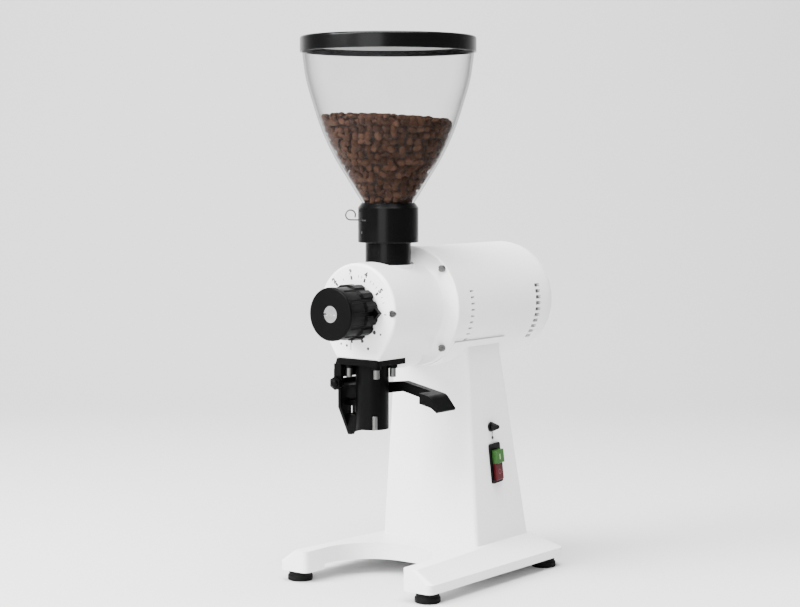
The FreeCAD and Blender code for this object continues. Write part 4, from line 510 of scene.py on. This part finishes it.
class Print:
    """Flat printed marks gathered into one thin mesh on a face of the machine."""

    def __init__(self, name, seat, thick=0.00012):
        self.name = name
        self.seat = seat
        self.thick = thick
        self.mesh = bmesh.new()

    def plate(self, corners):
        """A flat mark through corners (across, up), raised by the ink's thickness."""
        low = [self.mesh.verts.new(self.seat @ Vector((x, y, 0))) for x, y in corners]
        high = [self.mesh.verts.new(self.seat @ Vector((x, y, self.thick))) for x, y in corners]
        self.mesh.faces.new(high)
        self.mesh.faces.new(list(reversed(low)))
        for i in range(len(corners)):
            n = (i + 1) % len(corners)
            self.mesh.faces.new((low[i], low[n], high[n], high[i]))

    def bar(self, x, y, wide, tall, turn=0.0):
        """A bar round its middle, turned clockwise."""
        c, s = math.cos(turn), math.sin(turn)
        self.plate([
            (x + c * i * wide / 2 + s * k * tall / 2, y - s * i * wide / 2 + c * k * tall / 2)
            for i, k in ((-1, -1), (1, -1), (1, 1), (-1, 1))
        ])

    def dot(self, x, y, radius):
        self.plate([(x + radius * math.cos(a), y + radius * math.sin(a)) for a in turns(20)])

    def hoop(self, x, y, outer, inner, stretch, count=28):
        """A ring round its middle, stretched upward."""
        for i in range(count):
            a, b = 2 * math.pi * i / count, 2 * math.pi * (i + 1) / count
            self.plate([(x + r * math.cos(v), y + r * stretch * math.sin(v))
                        for r, v in ((inner, a), (outer, a), (outer, b), (inner, b))])

    def figure(self, text, x, y, size, turn):
        """A figure round its middle, a little bold, turned clockwise."""
        curve = bpy.data.curves.new(self.name + "_" + text, "FONT")
        curve.body = text
        curve.size = size
        curve.align_x, curve.align_y = "CENTER", "CENTER"
        curve.extrude = self.thick / 2
        curve.offset = size * 0.05
        holder = bpy.data.objects.new("typeset", curve)
        flat = bpy.data.meshes.new_from_object(holder)
        middle = Matrix.Translation((x, y, self.thick / 2))
        flat.transform(self.seat @ middle @ Matrix.Rotation(-turn, 4, "Z"))
        self.mesh.from_mesh(flat)
        bpy.data.objects.remove(holder)
        bpy.data.curves.remove(curve)
        bpy.data.meshes.remove(flat)

    def done(self, body, material):
        """Close the marks into one piece that rides on a body."""
        mesh = bpy.data.meshes.new(self.name)
        bmesh.ops.recalc_face_normals(self.mesh, faces=self.mesh.faces)
        self.mesh.to_mesh(mesh)
        self.mesh.free()
        mesh.materials.append(material)
        made = stand(self.name, mesh)
        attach(made, body)


def dial_point(angle, reach):
    """Across and up of a dial mark, by its clock angle in degrees and its reach."""
    a = math.radians(angle)
    return reach * math.sin(a), reach * math.cos(a)


# numbered scale on the face of the grinding head, its marks pointing at the knob's axis
dial_seat = Matrix.Translation((0, -0.1505, 0.3553)) @ Matrix.Rotation(math.radians(90), 4, "X")
dial = Print("dial_scale", dial_seat)


def dial_bar(angle, reach, wide, tall):
    dial.bar(*dial_point(angle, reach), wide, tall, math.radians(angle))


for number, angle, outer, inner in (
    ("2", -44, 0.0520, 0.0460), ("3", -11, 0.0500, 0.0430),
    ("4", 18, 0.0490, 0.0415), ("5", 54, 0.0470, 0.0400),
):
    dial.figure(number, *dial_point(angle, outer), 0.0090, math.radians(angle))
    dial_bar(angle, inner, 0.0027, 0.0048)
for angle in (-28, 4, 11, 30, 37, 45, 64, 73):
    dial_bar(angle, 0.0445, 0.0007, 0.0030)
dial_bar(92, 0.0455, 0.0010, 0.0036)
for angle, reach, radius in (
    (131, 0.0375, 0.0026), (166, 0.0375, 0.0023), (125, 0.0465, 0.0014),
    (158, 0.0490, 0.0019), (-149, 0.0485, 0.0013), (-160, 0.0460, 0.0016),
):
    dial.dot(*dial_point(angle, reach), radius)
dial.bar(*dial_point(-168, 0.0380), 0.0030, 0.0050)
dial.bar(*dial_point(-168, 0.0445), 0.0008, 0.0100)
dial.done("machine", dial_ink)

# the column's sloping side wall in millimetres: distance from the middle, and height
wall_foot_x, wall_foot_z = 78.0, 42.0
wall_top_x, wall_top_z = 60.0, 294.8
wall_slope = (wall_foot_x - wall_top_x) / (wall_top_z - wall_foot_z)


def wall_seat(y, z, out=0.0, tilt=4.0):
    """Frame on the switch wall: across is +Y, up is up the wall, out is away from it."""
    x = wall_foot_x - (z - wall_foot_z) * wall_slope
    seat = Matrix.Translation((x * MM, y * MM, z * MM))
    seat = seat @ Matrix.Rotation(math.atan(wall_slope), 4, Vector((0, -1, 0)))
    seat = seat @ Matrix.Rotation(math.radians(tilt), 4, "X")
    seat = seat @ Matrix.Translation(((out + 0.05) * MM, 0, 0))
    return seat @ Matrix(((0, 0, 1, 0), (1, 0, 0, 0), (0, 1, 0, 0), (0, 0, 0, 1)))


on_mark = Print("on_mark", wall_seat(52.5, 145.5, out=10.6))
on_mark.bar(-0.0020, 0.0091, 0.0016, 0.0072)
on_mark.done("on_push", on_ink)
off_mark = Print("off_mark", wall_seat(52.5, 145.5, out=7.1))
off_mark.hoop(-0.0006, -0.0112, 0.0030, 0.0019, stretch=1.25)
off_mark.done("off_push", off_ink)
reset_mark = Print("reset_mark", wall_seat(50.0, 182.0, tilt=0.0))
reset_mark.bar(0.0, 0.0036, 0.0021, 0.0020)
reset_mark.bar(0.0, 0.0008, 0.0009, 0.0040)
reset_mark.dot(0.0, -0.0030, 0.0023)
reset_mark.done("machine", reset_ink)

# camera at the photograph's angle: degrees round from the front, and down
view_turn, view_dip = 37.56, 4.41
camera_data = bpy.data.cameras.new("camera")
camera_data.lens = 84.19
camera_data.sensor_width = 36.0
camera = stand("camera", camera_data)
camera.location = (1.46416, -1.96545, 0.54543)
camera.rotation_euler = (math.radians(90 - view_dip), 0, math.radians(view_turn))
bpy.context.scene.camera = camera

# studio floor that bends up into the back wall
floor_finish = Finish("studio_floor", Specular_IOR_Level=0.2)
tone = floor_finish.grain(1.2, detail=2.0)
floor_finish.coat(Base_Color=floor_finish.blend(tone, grey(0.61), grey(0.64)))
floor_finish.coat(Roughness=0.6 + tone * 0.1)
sweep_front, sweep_back, sweep_bend, sweep_top, sweep_side = -6.0, 1.6, 1.2, 6.0, 7.0
profile = [(sweep_front, 0.0), (sweep_back, 0.0)]
for step in range(1, 13):
    a = math.pi / 2 * step / 12
    profile.append((sweep_back + sweep_bend * math.sin(a), sweep_bend - sweep_bend * math.cos(a)))
profile.append((sweep_back + sweep_bend, sweep_top))
grid = bmesh.new()
rows = [[grid.verts.new((side, along, up)) for side in (-sweep_side, sweep_side)]
        for along, up in profile]
for low, high in zip(rows, rows[1:]):
    face = grid.faces.new((low[0], low[1], high[1], high[0]))
    face.smooth = True
sweep = bpy.data.meshes.new("studio_sweep")
grid.to_mesh(sweep)
grid.free()
sweep.materials.append(floor_finish.material)
floor = stand("studio_sweep", sweep)
floor.rotation_euler = (0, 0, math.radians(view_turn))

# soft studio light
world = bpy.data.worlds.new("studio")
world.use_nodes = True
world.node_tree.nodes["Background"].inputs["Color"].default_value = (1, 1, 1, 1)
world.node_tree.nodes["Background"].inputs["Strength"].default_value = 0.42
bpy.context.scene.world = world


def soft_box(name, at, look, size, power):
    """A soft lamp of a size in metres and a power in watts, turned to look at a point."""
    data = bpy.data.lights.new(name, "AREA")
    data.shape = "RECTANGLE"
    data.size, data.size_y = size
    data.energy = power
    lamp = stand(name, data)
    lamp.location = at
    lamp.rotation_euler = (Vector(look) - Vector(at)).to_track_quat("-Z", "Y").to_euler()


soft_box("key", (-1.1, -2.4, 1.9), look=(0, 0, 0.35), size=(1.6, 1.6), power=300)
soft_box("front", (0.7, -2.7, 0.9), look=(0, 0, 0.35), size=(1.5, 1.6), power=40)
soft_box("top", (0.2, -0.4, 2.6), look=(0, 0, 0.3), size=(2.2, 2.0), power=270)
